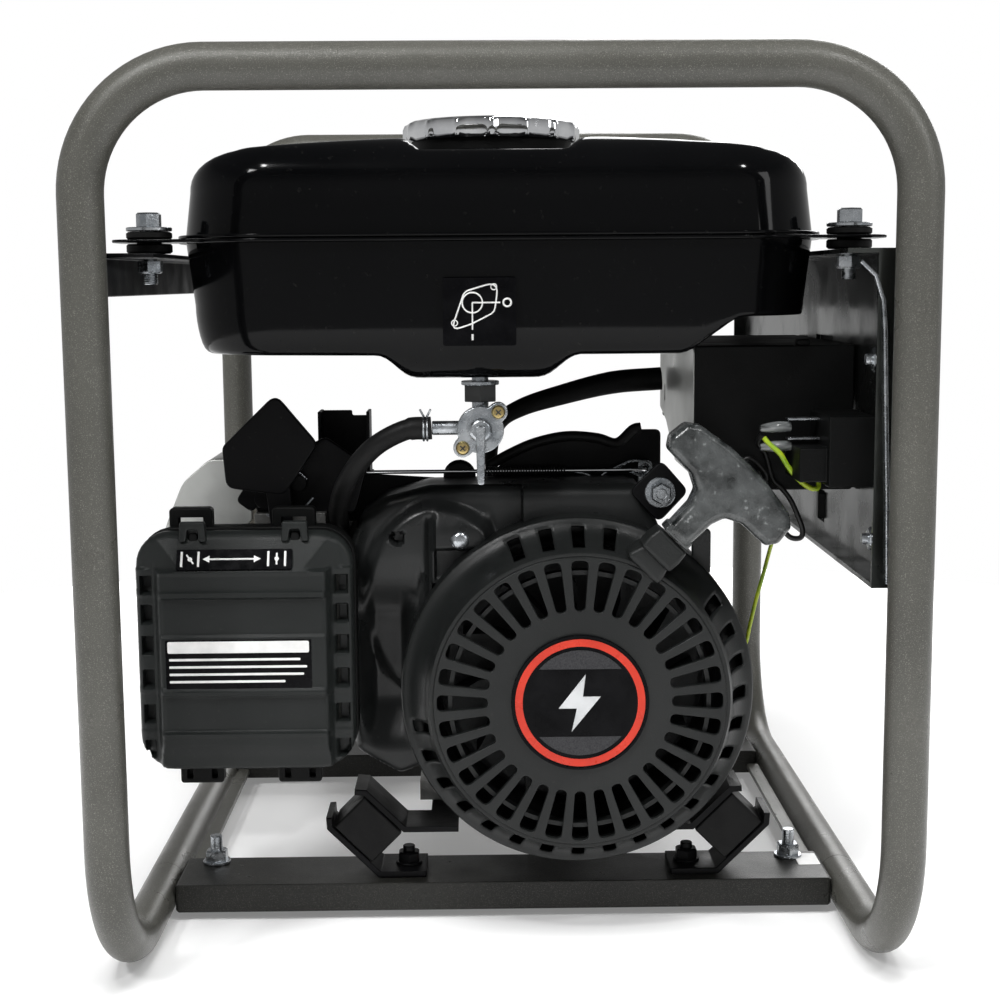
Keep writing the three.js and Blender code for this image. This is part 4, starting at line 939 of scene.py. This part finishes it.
def make_air_cleaner():
    body = "air_cover"
    (x0, x1), (z0, z1) = COVER_X, COVER_Z
    piece("cleaner_face", cover_face(), "cover", body, hides="air_cleaner_cover", smooth=50, weld=0.02)
    bead = plate([rounded_rect((x0 - 0.4, x1 + 0.4), (z0 - 0.4, z1 + 0.4), 16),
        rounded_rect((x0 + 5, x1 - 5), (z0 + 5, z1 - 5), 11)],
        (-134, -131), edge=0.9)
    piece("cleaner_bead", bead, "dark_plastic", body)
    skirt = slab((x0 + 0.5, x1 - 0.5), (z0 + 0.5, z1 - 0.5), 15, (-141, -128.2), edge=0.8)
    piece("cleaner_skirt", skirt, "dark_plastic", body)
    for i, x in enumerate((-140.2, -94)):
        tab = sheet([(x - 6.2, 193.4), (x - 5.6, 202.6), (x + 5.6, 202.6), (x + 6.2, 193.4), (x + 3, 193.4),
            (x + 2.2, 199), (x - 2.2, 199), (x - 3, 193.4)], 1, (-150.2, -146), edge=0.9)
        piece(f"cleaner_tab_{i}", tab, "cover", body)
        tongue = slab((x - 2.2, x + 2.2), (192, 197.6), 1.4, (-148.4, -144), edge=0.8)
        piece(f"cleaner_tongue_{i}", tongue, "dark_plastic", body)
    for i, x in enumerate((-144.6, -96.8)):
        loop = plate([rounded_rect((x - 10, x + 10), (190, 206), 2),
            rounded_rect((x - 6.6, x + 6.6), (187, 202.4), 1)], (-127.4, -120.4), edge=0.8)
        piece(f"cleaner_loop_{i}", loop, "dark_plastic", hides=None if i else "air_cleaner_base")
    for i, x in enumerate((-140.2, -94.8)):
        clip = plate([rounded_rect((x - 10, x + 10), (79, 92), 1.5),
            rounded_rect((x - 7, x - 4.4), (81.5, 85.5), 0.6),
            rounded_rect((x + 4.4, x + 7), (81.5, 85.5), 0.6)], (-143, -136), edge=0.7)
        filler = slab((x - 8.6, x + 8.6), (80.4, 90), 1, (-138.4, -136.4), edge=0.4)
        piece(f"cleaner_clip_{i}", join(clip, filler), "dark_plastic", body)
    back = slab((-166, -68), (88, 197.6), 16, (-127.6, -120), edge=1.6, rounding=3)
    duct = rod((-100, -121, 165), (-100, -111.4, 165), 20, 40)
    piece("cleaner_back", join(back, duct), "dark_plastic")
    labels(body)


def labels(body):
    """Two plain labels: bars in place of words, and a pair of throttle plates with an arrow."""
    y = -153.4
    tilt = lambda shape: transform(shape,
        Matrix.Translation((0, y, 186)) @ Matrix.Rotation(math.radians(-26.6), 4,
        "X") @ Matrix.Translation((0, -y, -186)))
    piece("cleaner_label_top", tilt(slab((-147, -95), (181.2, 190.8), 0.6, (y - 0.3, y + 2),
        edge=0.1)), "decal_black", body)
    yb = y - 0.45
    bar = lambda a, b, w=0.55: sweep([(a[0], yb, a[1]), (b[0], yb, b[1])], w, 6)
    marks = [bar((-144.6, 182.6), (-144.6, 189.6)), bar((-137, 182.6), (-137, 189.6)),
        bar((-142.4, 188.2), (-139.2, 184), 0.4),
        bar((-105.6, 182.6), (-105.6, 189.6)), bar((-98, 182.6), (-98, 189.6)),
        bar((-101.8, 183.4), (-101.8, 188.8), 0.45), bar((-132, 186.1), (-111, 186.1), 0.4)]
    marks += [rod((x, yb - 0.3, 186.1), (x, yb + 0.3, 186.1), 1.0, 16, 0.1) for x in (-140.8, -101.8)]
    heads = [plate([[(x, 186.1), (x + s * 3, 187.7), (x + s * 3, 184.5)][::s]], (yb - 0.4, yb + 0.4),
        edge=0.05) for x, s in ((-135, 1), (-109, -1))]
    piece("cleaner_label_marks", tilt(join(*marks, *heads)), "white", body)
    yl = -155.2
    piece("cleaner_label_low", slab((-153, -87), (126.6, 149.4), 0.6, (yl - 0.15, yl + 1.6),
        edge=0.1), "decal_black", body)
    piece("cleaner_label_head", slab((-152, -88), (143.4, 148.8), 0.8, (yl - 0.3, yl + 0.5),
        edge=0.1), "white", body)
    rows = [slab((-151.4, right), (z - 0.55, z + 0.55), 0.4, (yl - 0.28, yl + 0.5), edge=0.1)
            for z, right in ((140.4, -92), (137, -89), (133.6, -90.5), (130.2, -99))]
    piece("cleaner_label_rows", join(*rows), "white", body)


# ---- Carburettor and controls ----
def make_controls():
    diamond = [(-106.2, 257.5), (-86.5, 233.5), (-103, 209), (-130.5, 213), (-132, 232.5)]
    piece("choke_plate", join(
        sheet(diamond, 5, (-110, -106), edge=1, rounding=3),
        sheet([(-109, 186), (-99, 186), (-100, 214), (-112, 214)], 3, (-109.8, -106.2), edge=0.8),
    ), "black_steel", "choke", hides="choke_lever")
    levers = join(
        sheet([(-118, 199), (-70, 199), (-64, 222), (-84, 236), (-96, 230), (-122, 226)], 4, (-99, -95),
        edge=1),
        sheet([(-127, 206), (-119, 200), (-104, 226), (-110, 232)], 3, (-104.6, -101.6), edge=0.8),
        rod((-113, -105, 207), (-113, -97, 207), 5, 24),
        rod((-97, -102.4, 214), (-97, -95, 214), 4, 24),
    )
    piece("carburettor_levers", levers, "black_steel")
    springs = [spline([(-116, -107, 214), (-111, -108, 218), (-103, -106, 216), (-98, -104, 220), (-93, -102, 216)],
        24),
        spline([(-112, -107, 200), (-105, -107, 196), (-98, -104, 199), (-90, -102, 207)], 24)]
    piece("carburettor_wires", join(*[sweep(p, 0.6, 8) for p in springs]), "zinc")
    rod_shape = sweep(bent([(-104.5, -75.2, 216.5), (-104.5, -79.6, 216.5), (72, -79.6, 216.5), (72, -75.2, 216.5)],
        2, 6), 1.0, 12)
    coils = [(-8 + 40 * t, -79.6 + 2.2 * math.sin(math.radians(a)), 216.5 + 2.2 * math.cos(math.radians(a)))
        for a, t in ((a, a / 10800) for a in range(0, 10801, 30))]
    piece("link_rod", rod_shape, "chrome", "rod", hides="governor_rod")
    piece("link_spring", sweep(coils, 0.42, 6), "dark_cast", "rod")
    clip = spline([(33, -79.6, 216.4), (42, -79.4, 214.6), (48, -79, 212.4), (52, -79, 215), (60, -79, 219),
        (66, -79, 221), (73, -79, 219.6), (75, -79, 215), (70, -79, 213.6), (64, -79, 215.6)], 50)
    piece("link_clip", sweep(clip, 0.7, 8), "zinc", "rod")
    for node, name, x, z, body in (("throttle_lever", "throttle_arm", -104.5, 196.5, "throttle"),
            ("governor_arm", "governor_plate", 72, 190.5, "governor")):
        arm = plate([fillet([(x - 4, z - 4), (x + 4, z - 4), (x + 3.4, 221), (x - 3.4, 221)], 2.5),
            circle(x, 216.5, 1.7, 20)], (-77, -75.5), edge=0.3)
        stud = rod((x, -78, z), (x, -74.5, z), 2.4, 20)
        piece(name, join(arm, stud), "zinc", body, hides=node)
    arch = fillet([(-94, 192), (0, 189), (70, 189), (70, 213), (80, 213), (80, 236), (64, 236), (58, 228), (48, 231),
        (33, 232), (18, 229), (6, 224), (-5, 214), (-20, 212), (-94, 217)], 3)
    piece("control_plate", plate([arch], (-73.4, -71.6), edge=0.5), "black_steel", hides="control_bracket")
    bead = [(-5, -74.6, 219), (6, -74.6, 225), (18, -74.6, 230), (33, -74.6, 233), (48, -74.6, 232),
        (58, -74.6, 229.4), (66, -74.6, 236), (70, -74.6, 237)]
    piece("control_tube", sweep(spline(bead, 40), 2.6, 16), "rubber")
    for i, (x0, x1) in enumerate(((-90, -88.4), (-66, -64.4))):
        piece(f"control_ear_{i}", sheet([(x0, 215), (x1, 215), (x1, 246), (x0, 246)], 0.5, (-73, -56),
            edge=0.4), "black_steel")
    piece("control_ear_back", sheet([(-90, 215), (-64.4, 215), (-64.4, 243), (-74, 243), (-74, 245.6),
        (-90, 245.6)], 1,
        (-58, -56.4), edge=0.4), "black_steel")
    foot = sheet([(-91, 213.6), (-63.6, 213.6), (-63.6, 215.4), (-91, 215.4)], 0.4, (-74, -56), edge=0.4)
    piece("control_ear_foot", foot, "black_steel")
    knob = lathe([(3, 0), (7.5, 0.6), (8, 2), (6.5, 5), (4, 5.4)], (-20, -74, 214), -Y, 36)
    piece("control_knob", knob, "black_steel")
    piece("control_knob_low", lathe([(3, 0), (6.5, 0.6), (7, 3), (5, 4)], (-1, -74, 207), -Y, 36), "dark_plastic")


# ---- Engine, exhaust and alternator ----
def make_engine():
    ring = [(13.4, 18.6), (60, 18.6), (63, 19.4), (63, 23), (61, 24), (50, 25), (44, 29), (30, 29.4), (13.4, 29.4),
        (13.4, 18.6)]
    cover = [lathe(ring, CRANK, Y, 96)]
    cover += [hexagon(around(57, a, 24), Y, 8, 4.4) for a in range(30, 390, 60)]
    piece("crankcase_end", join(*cover), "cast", hides="crankcase_cover", smooth=30)


def around(r, degrees, y):
    a = math.radians(degrees)
    return Vector((CRANK.x + r * math.cos(a), y, CRANK.z + r * math.sin(a)))


def make_alternator():
    core = [(41, 36), (61.6, 36), (62, 36.6)]
    for y in range(40, 98, 4):
        core += [(62, y), (61.3, y + 0.3), (61.3, y + 0.9), (62, y + 1.2)]
    core += [(62, 98.4), (61.6, 99), (41, 99), (41, 36)]
    piece("stator_core", lathe(core, CRANK, Y, 128), "steel", hides="alternator_stator", smooth=30)
    for tag, y in (("front", 33), ("rear", 101.8)):
        coil = [(51 + 7 * math.cos(a), y + 3.4 * math.sin(a)) for a in (math.radians(d) for d in range(0, 360, 30))]
        piece(f"stator_coil_{tag}", lathe([*coil, coil[0]], CRANK, Y, 96), "copper")
    wall = [(54.5, 105.6), (62, 105.6), (62.6, 106.4), (62.6, 116), (61.4, 118), (61.2, 150), (60, 156),
        (56.5, 160.6), (51, 162.8), (51, 159.6), (54.5, 154), (54.5, 105.6)]
    parts = [lathe(wall, CRANK, Y, 128)]
    face = [circle(CRANK.x, CRANK.z, 52.5)] + [radial_slot(25, 45, 3.5, 5, 4.5, math.radians(a)) for a in range(0,
        360, 30)]
    parts.append(plate(face, (159, 162.6), edge=0.9))
    boss = [(11.6, 157), (19, 157), (19, 164), (17.6, 165.4), (14, 165.6), (13, 164.4), (11.6, 164.4), (11.6, 157)]
    parts.append(lathe(boss, CRANK, Y, 64))
    foot = fillet([(12, 46.2), (58, 46.2), (58, 53), (49, 66), (21, 66), (12, 53)], 2)
    parts.append(plate([foot], (109.2, 136.8), edge=1.4))
    for a in END_BOLT_ANGLES:
        parts.append(rod(around(59, a, 100), around(59, a, 161), 5.4, 24, 1.2))
    piece("end_bell_casting", join(*parts), "cast", hides="alternator_end_bell", smooth=35)
    bolts = [join(hexagon(around(59, a, 161), Y, 8, 5, washer=6), rod(around(59, a, 24), around(59, a, 100), 2.4, 12))
        for a in END_BOLT_ANGLES]
    piece("end_bell_bolts", join(*bolts), "zinc", smooth=25)
    centre = [(10.6, 158.2), (9.6, 159.4), (3, 159.6), (2.4, 158.6), (0.2, 158.4)]
    piece("shaft_end", lathe(centre, CRANK, Y, 40), "steel", "shaft")


def make_exhaust():
    can = rounded_rect((-162, -73), (119, 203), 23)
    parts = [plate([can], (31, 121), edge=4, rounding=4)]
    for y in (30, 119):
        parts.append(plate([rounded_rect((-163.2, -71.8), (117.8, 204.2), 24),
            rounded_rect((-159, -76), (122, 200), 20)], (y, y + 3), edge=1.3))
    parts.append(slab((-148, -87), (133, 189), 14, (120, 123.4), edge=1.6, rounding=3))
    pipe = [(8.4, 122), (10, 122), (10, 136), (10.9, 137), (10.6, 138), (8.4, 138), (8.4, 122)]
    parts.append(lathe(pipe, (-118, 0, 161), Y, 48))
    parts.append(slab((-98, -73), (150, 178), 4, (24.2, 31.6), edge=1.2))
    piece("muffler_can", join(*parts), "muffler", hides="muffler", smooth=35)
    wires = [sweep([(-118 + a, 131, 161 - (66 - a * a) ** 0.5), (-118 + a, 131, 161 + (66 - a * a) ** 0.5)], 0.35,
        6) for a in range(-7, 8, 2)]
    wires += [sweep([(-118 - (66 - a * a) ** 0.5, 131.6, 161 + a), (-118 + (66 - a * a) ** 0.5, 131.6, 161 + a)],
        0.35, 6) for a in range(-7, 8, 2)]
    piece("spark_screen", join(*wires), "dark_cast")

    section = [Vector(p) for p in ((-166, 112), (-171, 120), (-171, 185), (-161, 209), (-147, 221), (-126, 221))]
    for _ in range(3):
        cut = [section[0]]
        for a, b in zip(section, section[1:]):
            cut += [a.lerp(b, 0.1), a.lerp(b, 0.9)]
        section = [*cut, section[-1]]
    lengths = np.cumsum([0] + [(b - a).length for a, b in zip(section, section[1:])])
    even = np.arange(0, lengths[-1], 3.0)
    path = np.stack([np.interp(even, lengths, [p[k] for p in section]) for k in (0, 1)], 1)
    ys = np.linspace(-54, 132, 63)
    verts = [(x, y, z) for x, z in path for y in ys]

    def keep(i, j):
        z = (path[i][1] + path[min(i + 1, len(path) - 1)][1]) / 2
        return not ((128 < z < 152 or 158 < z < 182) and (j % 6) in (2, 3) and 3 < j < 58)

    skin = verts, grid_faces(len(path), len(ys), wrap_columns=False, keep=keep)
    piece("guard_skin", skin, "galvanised", hides="muffler_guard", thickness=1.3, smooth=20)
    outline = [(p.x, p.y) for p in section] + [(-126, 190), (-139, 176), (-139, 112)]
    piece("guard_front", plate([outline], (-56, -53.8), edge=0.6), "galvanised")
    heads = [screw((-171.6, y, 120 + 4), -X, 3.4)[0] for y in (-40, 40, 118)]
    piece("guard_screws", join(*heads), "zinc")


def make_panel_face():
    sheet = [rounded_rect((-194, 189), (179.4, 320.6), 2), rounded_rect((-82, -42), (242, 282), 1),
        rounded_rect((-70, -54), (187, 205), 1), circle(-155, 234, 6, 18)]
    piece("panel_sheet", plate(sheet, (165.05, 165.9), "YZ", edge=0.3), "galvanised")
    bezel = [rounded_rect((-86, -38), (238, 286), 5), circle(-62, 262, 16.8, 36)]
    piece("socket_bezel", plate(bezel, (165.9, 169.6), "YZ", edge=1.2, rounding=3), "dark_plastic")
    for i, (y, z) in enumerate(((-82, 242), (-42, 242), (-82, 282), (-42, 282))):
        piece(f"socket_screw_{i}", screw((169.4, y, z), X, 2.2, 1.2)[0], "zinc")
    frame_ring = [rounded_rect((-73, -51), (183.6, 208.4), 2.5), rounded_rect((-69.4, -54.6), (187.6, 204.4), 1.2)]
    piece("switch_bezel", plate(frame_ring, (165.9, 167.8), "YZ", edge=0.7), "dark_plastic")
    collar = [(5.6, 165.9), (9, 165.9), (9, 167.6), (8.2, 168.6), (5.6, 168.6), (5.6, 165.9)]
    piece("breaker_collar", lathe(collar, (0, -155, 234), X, 48), "dark_cast")
    seat = Vector((165.9, 110, 200))
    stud = join(hexagon(seat, X, 12, 5, washer=8), rod(seat, seat + X * 12, 3, 20), hexagon(seat + X * 7, X, 9, 3.6))
    piece("ground_terminal", stud, "zinc", smooth=25)
    louvres = [slab((40, 150), (z, z + 4), 1.9, (165.6, 168.2), "YZ", edge=1.1,
        rounding=3) for z in range(236, 300, 10)]
    piece("panel_louvres", join(*louvres), "galvanised")
    heads = [screw((165.8, y, z), X, 3.6)[0] for y, z in ((-186, 313), (-186, 187), (181, 313), (181, 187))]
    piece("panel_screws", join(*heads), "zinc")


def make_mounts():
    for i, x in enumerate((-47, 91.5)):
        piece(f"mount_nut_{i}", stud_nut((x, -95, 22), Z, 10, 5, 6.5, 9), "black_steel", smooth=25)


# ---- Electrics ----
def make_electrics():
    wall = lambda outline, span, plane: sheet(outline, 1.5, span, plane, edge=0.8)
    shell = join(
        wall([(88.9, 212.6), (162.4, 212.6), (162.4, 279.4), (88.9, 279.4)], (-132, -129.4), "XZ"),
        wall([(88.9, -131), (162.4, -131), (162.4, 9), (88.9, 9)], (277, 279.4), "XY"),
        wall([(90, 236), (162.4, 236), (162.4, 278), (90, 278)], (6.6, 9), "XZ"),
    )
    piece("control_box_shell", shell, "dark_plastic", hides="control_box")
    slot = rounded_rect((-16, -12), (246, 255), 1.8)
    side = fillet([(-129, 219), (-60, 219), (-20, 236), (8.6, 241), (8.6, 278), (-129, 278)], 2)
    piece("control_box_side", plate([side, slot], (88.7, 90.4), "YZ", edge=0.4), "galvanised")
    piece("control_box_rib", slab((136, 142), (279, 282), 1, (-131, -126), edge=0.6), "dark_plastic")
    route = [(-3, -36, 189), (-4, -36, 220), (0, -34, 236), (12, -30, 244), (33, -24, 250), (60, -20, 256),
        (86, -20, 258)]
    path = spline(route, 60)
    radii = [2.6 + 3.4 * min(1, i / 50) for i in range(len(path))]
    piece("harness", sweep(path, radii, 24), "rubber", hides="wiring_harness")
    for i, z in enumerate((247.6, 239)):
        piece(f"spade_sleeve_{i}", sweep(spline([(129.6, -150, z - 4), (124, -151, z - 4), (116, -152, z - 4.4)], 10),
            [2.4, 2.4, 2.4, 2.5, 2.5, 2.5, 2.5, 2.4, 2.2, 1.8, 1.4], 16), "sleeve")
    blades = [slab((128, 146), (z - 0.5, z + 0.5), 0.3, (-154.5, -148.5), edge=0.2) for z in (247.3,
        238.5)]
    piece("spade_blades", join(*blades), "zinc")
    for name, radius, mat, count, route in (
        ("earth_wire", 1.2, "earth", 40, [
            (117.6, -152, 239), (120, -153, 236), (124.5, -154, 232), (128, -154, 226.5), (132.3, -154, 221),
            (137.8, -154, 216.6), (141.8, -154, 216.2), (142.4, -152, 219.6),
        ]),
        ("earth_wire_low", 1.0, "earth", 50, [
            (120, -138, 216), (126, -134, 206), (133, -118, 196), (133.4, -100, 188), (132.7, -90, 179.5),
            (129, -90, 165), (125.7, -90, 152.5), (122.9, -90, 140), (121.1, -88, 129.9), (117, -80, 118),
        ]),
        ("black_lead", 1.25, "wire", 70, [
            (118, -146, 240), (116.4, -143, 236), (121, -137, 230), (124.6, -136, 218.3), (128.8, -136, 214),
            (133, -136, 208.6), (136.6, -136, 201), (138.9, -136, 194.5), (138, -136, 190.8), (133.4, -136, 191),
            (129.6, -136, 195.4), (126, -136, 204), (122.6, -135, 213), (118, -135.4, 222),
        ]),
        ("wire_bundle", 1.3, "wire", 50, [
            (108, -136, 224), (113, -137, 228), (118, -137, 225), (122, -136, 219), (119, -136, 214),
            (112, -135.6, 217), (108, -136, 224),
        ]),
    ):
        piece(name, sweep(spline(route, count), radius, 10), mat)


# ---- Camera, light and floor ----
CAMERA_LENS, CAMERA_SENSOR = 58.59, 36  # millimetres
CAMERA_TURNS = (7.636, 0.709, -0.426)  # degrees down, to the right and of roll
CAMERA_PLACE = Vector((-10.0, -877.8, 309.1))
FLOOR_RADII = (0.3, 0.6, 0.9)  # metres
FLOOR_SIDES = 96
FLOOR_Z = -0.0004  # metres, just clear of the feet


def set_stage():
    camera = bpy.data.cameras.new("camera")
    camera.lens, camera.sensor_width = CAMERA_LENS, CAMERA_SENSOR
    camera.clip_start, camera.clip_end = 0.01, 50
    eye = add_object("camera", camera)
    pitch, yaw, roll = (math.radians(a) for a in CAMERA_TURNS)
    look = Vector((math.sin(yaw) * math.cos(pitch), math.cos(yaw) * math.cos(pitch), -math.sin(pitch)))
    right = look.cross(Z).normalized()
    up = right.cross(look)
    right, up = math.cos(roll) * right + math.sin(roll) * up, -math.sin(roll) * right + math.cos(roll) * up
    basis = Matrix((right, up, -look)).transposed().to_4x4()
    eye.matrix_world = Matrix.Translation(CAMERA_PLACE / MM) @ basis
    bpy.context.scene.camera = eye

    floor = bpy.data.meshes.new("floor")
    angles = [2 * math.pi * k / FLOOR_SIDES for k in range(FLOOR_SIDES)]
    verts = [(r * math.cos(a), r * math.sin(a), FLOOR_Z) for r in FLOOR_RADII for a in angles]
    floor.from_pydata(verts, [], [tuple(range(FLOOR_SIDES)), *grid_faces(len(FLOOR_RADII), FLOOR_SIDES)])
    pale = material("floor_pale", (0.86, 0.86, 0.86), 0.8, second=(0.82, 0.82, 0.82), mottle=3, specular=0.1)
    glow, shader = pale.node_tree, pale.node_tree.nodes["Principled BSDF"]
    fade = glow.nodes.new("ShaderNodeTexGradient")
    fade.gradient_type = "SPHERICAL"
    glow.links.new(glow.nodes["Texture Coordinate"].outputs["Object"], fade.inputs[0])
    # The floor also glows: painted light, strength 0.2 within 0.3 m of its middle, rising to 0.75 at its 0.9 m rim.
    shader.inputs["Emission Color"].default_value = (1, 1, 1, 1)
    glow.links.new(remap(glow, fade.outputs["Fac"], 0.1, 0.7, 0.75, 0.2), shader.inputs["Emission Strength"])
    floor.materials.append(pale)
    add_object("floor", floor)

    world = bpy.data.worlds.new("studio")
    bpy.context.scene.world = world
    world.use_nodes = True
    tree = world.node_tree
    seen, lit = tree.nodes["Background"], tree.nodes.new("ShaderNodeBackground")
    seen.inputs[0].default_value, seen.inputs[1].default_value = (1, 1, 1, 1), 1.0
    lit.inputs[0].default_value = (1, 1, 1, 1)
    sky = tree.nodes.new("ShaderNodeSeparateXYZ")
    tree.links.new(tree.nodes.new("ShaderNodeTexCoord").outputs["Generated"], sky.inputs[0])
    rays, blend = tree.nodes.new("ShaderNodeLightPath"), tree.nodes.new("ShaderNodeMixShader")
    tree.links.new(rays.outputs["Is Camera Ray"], blend.inputs[0])
    gloss = tree.nodes.new("ShaderNodeMath")
    gloss.operation = "MULTIPLY_ADD"
    tree.links.new(rays.outputs["Is Glossy Ray"], gloss.inputs[0])
    tree.links.new(remap(tree, sky.outputs["Z"], 0.12, 0.55, 0.42, 0.0), gloss.inputs[1])
    gloss.inputs[2].default_value = 0.1
    tree.links.new(gloss.outputs[0], lit.inputs[1])
    tree.links.new(lit.outputs[0], blend.inputs[1])
    tree.links.new(seen.outputs[0], blend.inputs[2])
    tree.links.new(blend.outputs[0], tree.nodes["World Output"].inputs[0])
    for name, place, target, size, watts in (
        ("key", (-1.0, -1.5, 1.7), (0, 0, 0.2), 0.35, 20),
        ("fill", (1.5, -1.2, 1.0), (0, 0, 0.2), 0.6, 6),
        ("spark_left", (-0.45, -1.1, 1.8), (0, 0, 0.2), 0.12, 7),
        ("spark_right", (0.75, -1.2, 1.6), (0, 0, 0.2), 0.12, 6),
        ("top", (0, -0.8, 2.2), (0, 0, 0.25), 1.0, 42),
        ("back", (0.7, 1.9, 1.3), (0, 0, 0.2), 1.2, 24),
    ):
        lamp = bpy.data.lights.new(name, "AREA")
        lamp.size, lamp.energy = size, watts
        holder = add_object(name, lamp)
        holder.location = place
        holder.visible_glossy = name != "top"
        holder.rotation_euler = (Vector(target) - Vector(place)).to_track_quat("-Z", "Y").to_euler()
    bpy.context.scene.view_settings.view_transform = "Standard"


# The CAD nodes whose shapes stay: their material and the radius of their edges.
CARRIED_OVER = {
    "front_cross_rail": ("rail", 1.4), "rear_cross_rail": ("rail", 1.4),
    "left_tank_ledge": ("black_steel", 0.7), "control_panel": ("panel_zinc", 0.8),
    "cap_gasket": ("rubber", 0.3), "rope_pulley": ("dark_plastic", 0.6), "air_filter": ("foam", 0),
    "carburettor": ("cast", 0.8), "crankcase": ("cast", 0.9), "cylinder_head": ("cast", 0.5),
    "valve_cover": ("black_steel", 1.4), "crankshaft": ("steel", 0.4), "flywheel_fan": ("dark_cast", 0.5),
    "alternator_rotor": ("copper", 0.6), "oil_filler_cap": ("dark_plastic", 1.0),
    "front_left_mount_rubber": ("rubber", 1.2), "front_right_mount_rubber": ("rubber", 1.2),
    "front_left_mount_foot": ("black_steel", 0.7), "front_right_mount_foot": ("black_steel", 0.7),
    "front_left_mount_arm": ("black_steel", 0.7), "front_right_mount_arm": ("black_steel", 0.7),
    "rear_mount_rubber": ("rubber", 1.5), "ac_socket": ("dark_plastic", 1.0),
    "breaker_module": ("dark_plastic", 0.8), "breaker_button": ("dark_plastic", 0.5),
    "engine_switch": ("dark_plastic", 0.5),
}

for node_name, (finish, radius) in CARRIED_OVER.items():
    dress(node_name, finish, radius)
for build in (
    set_stage, make_frame, make_tank, make_cap, make_valve, make_hose, make_housing, make_recoil, make_handle,
    make_air_cleaner, make_controls, make_engine, make_alternator, make_exhaust, make_mounts, make_electrics,
    make_panel_face,
):
    build()
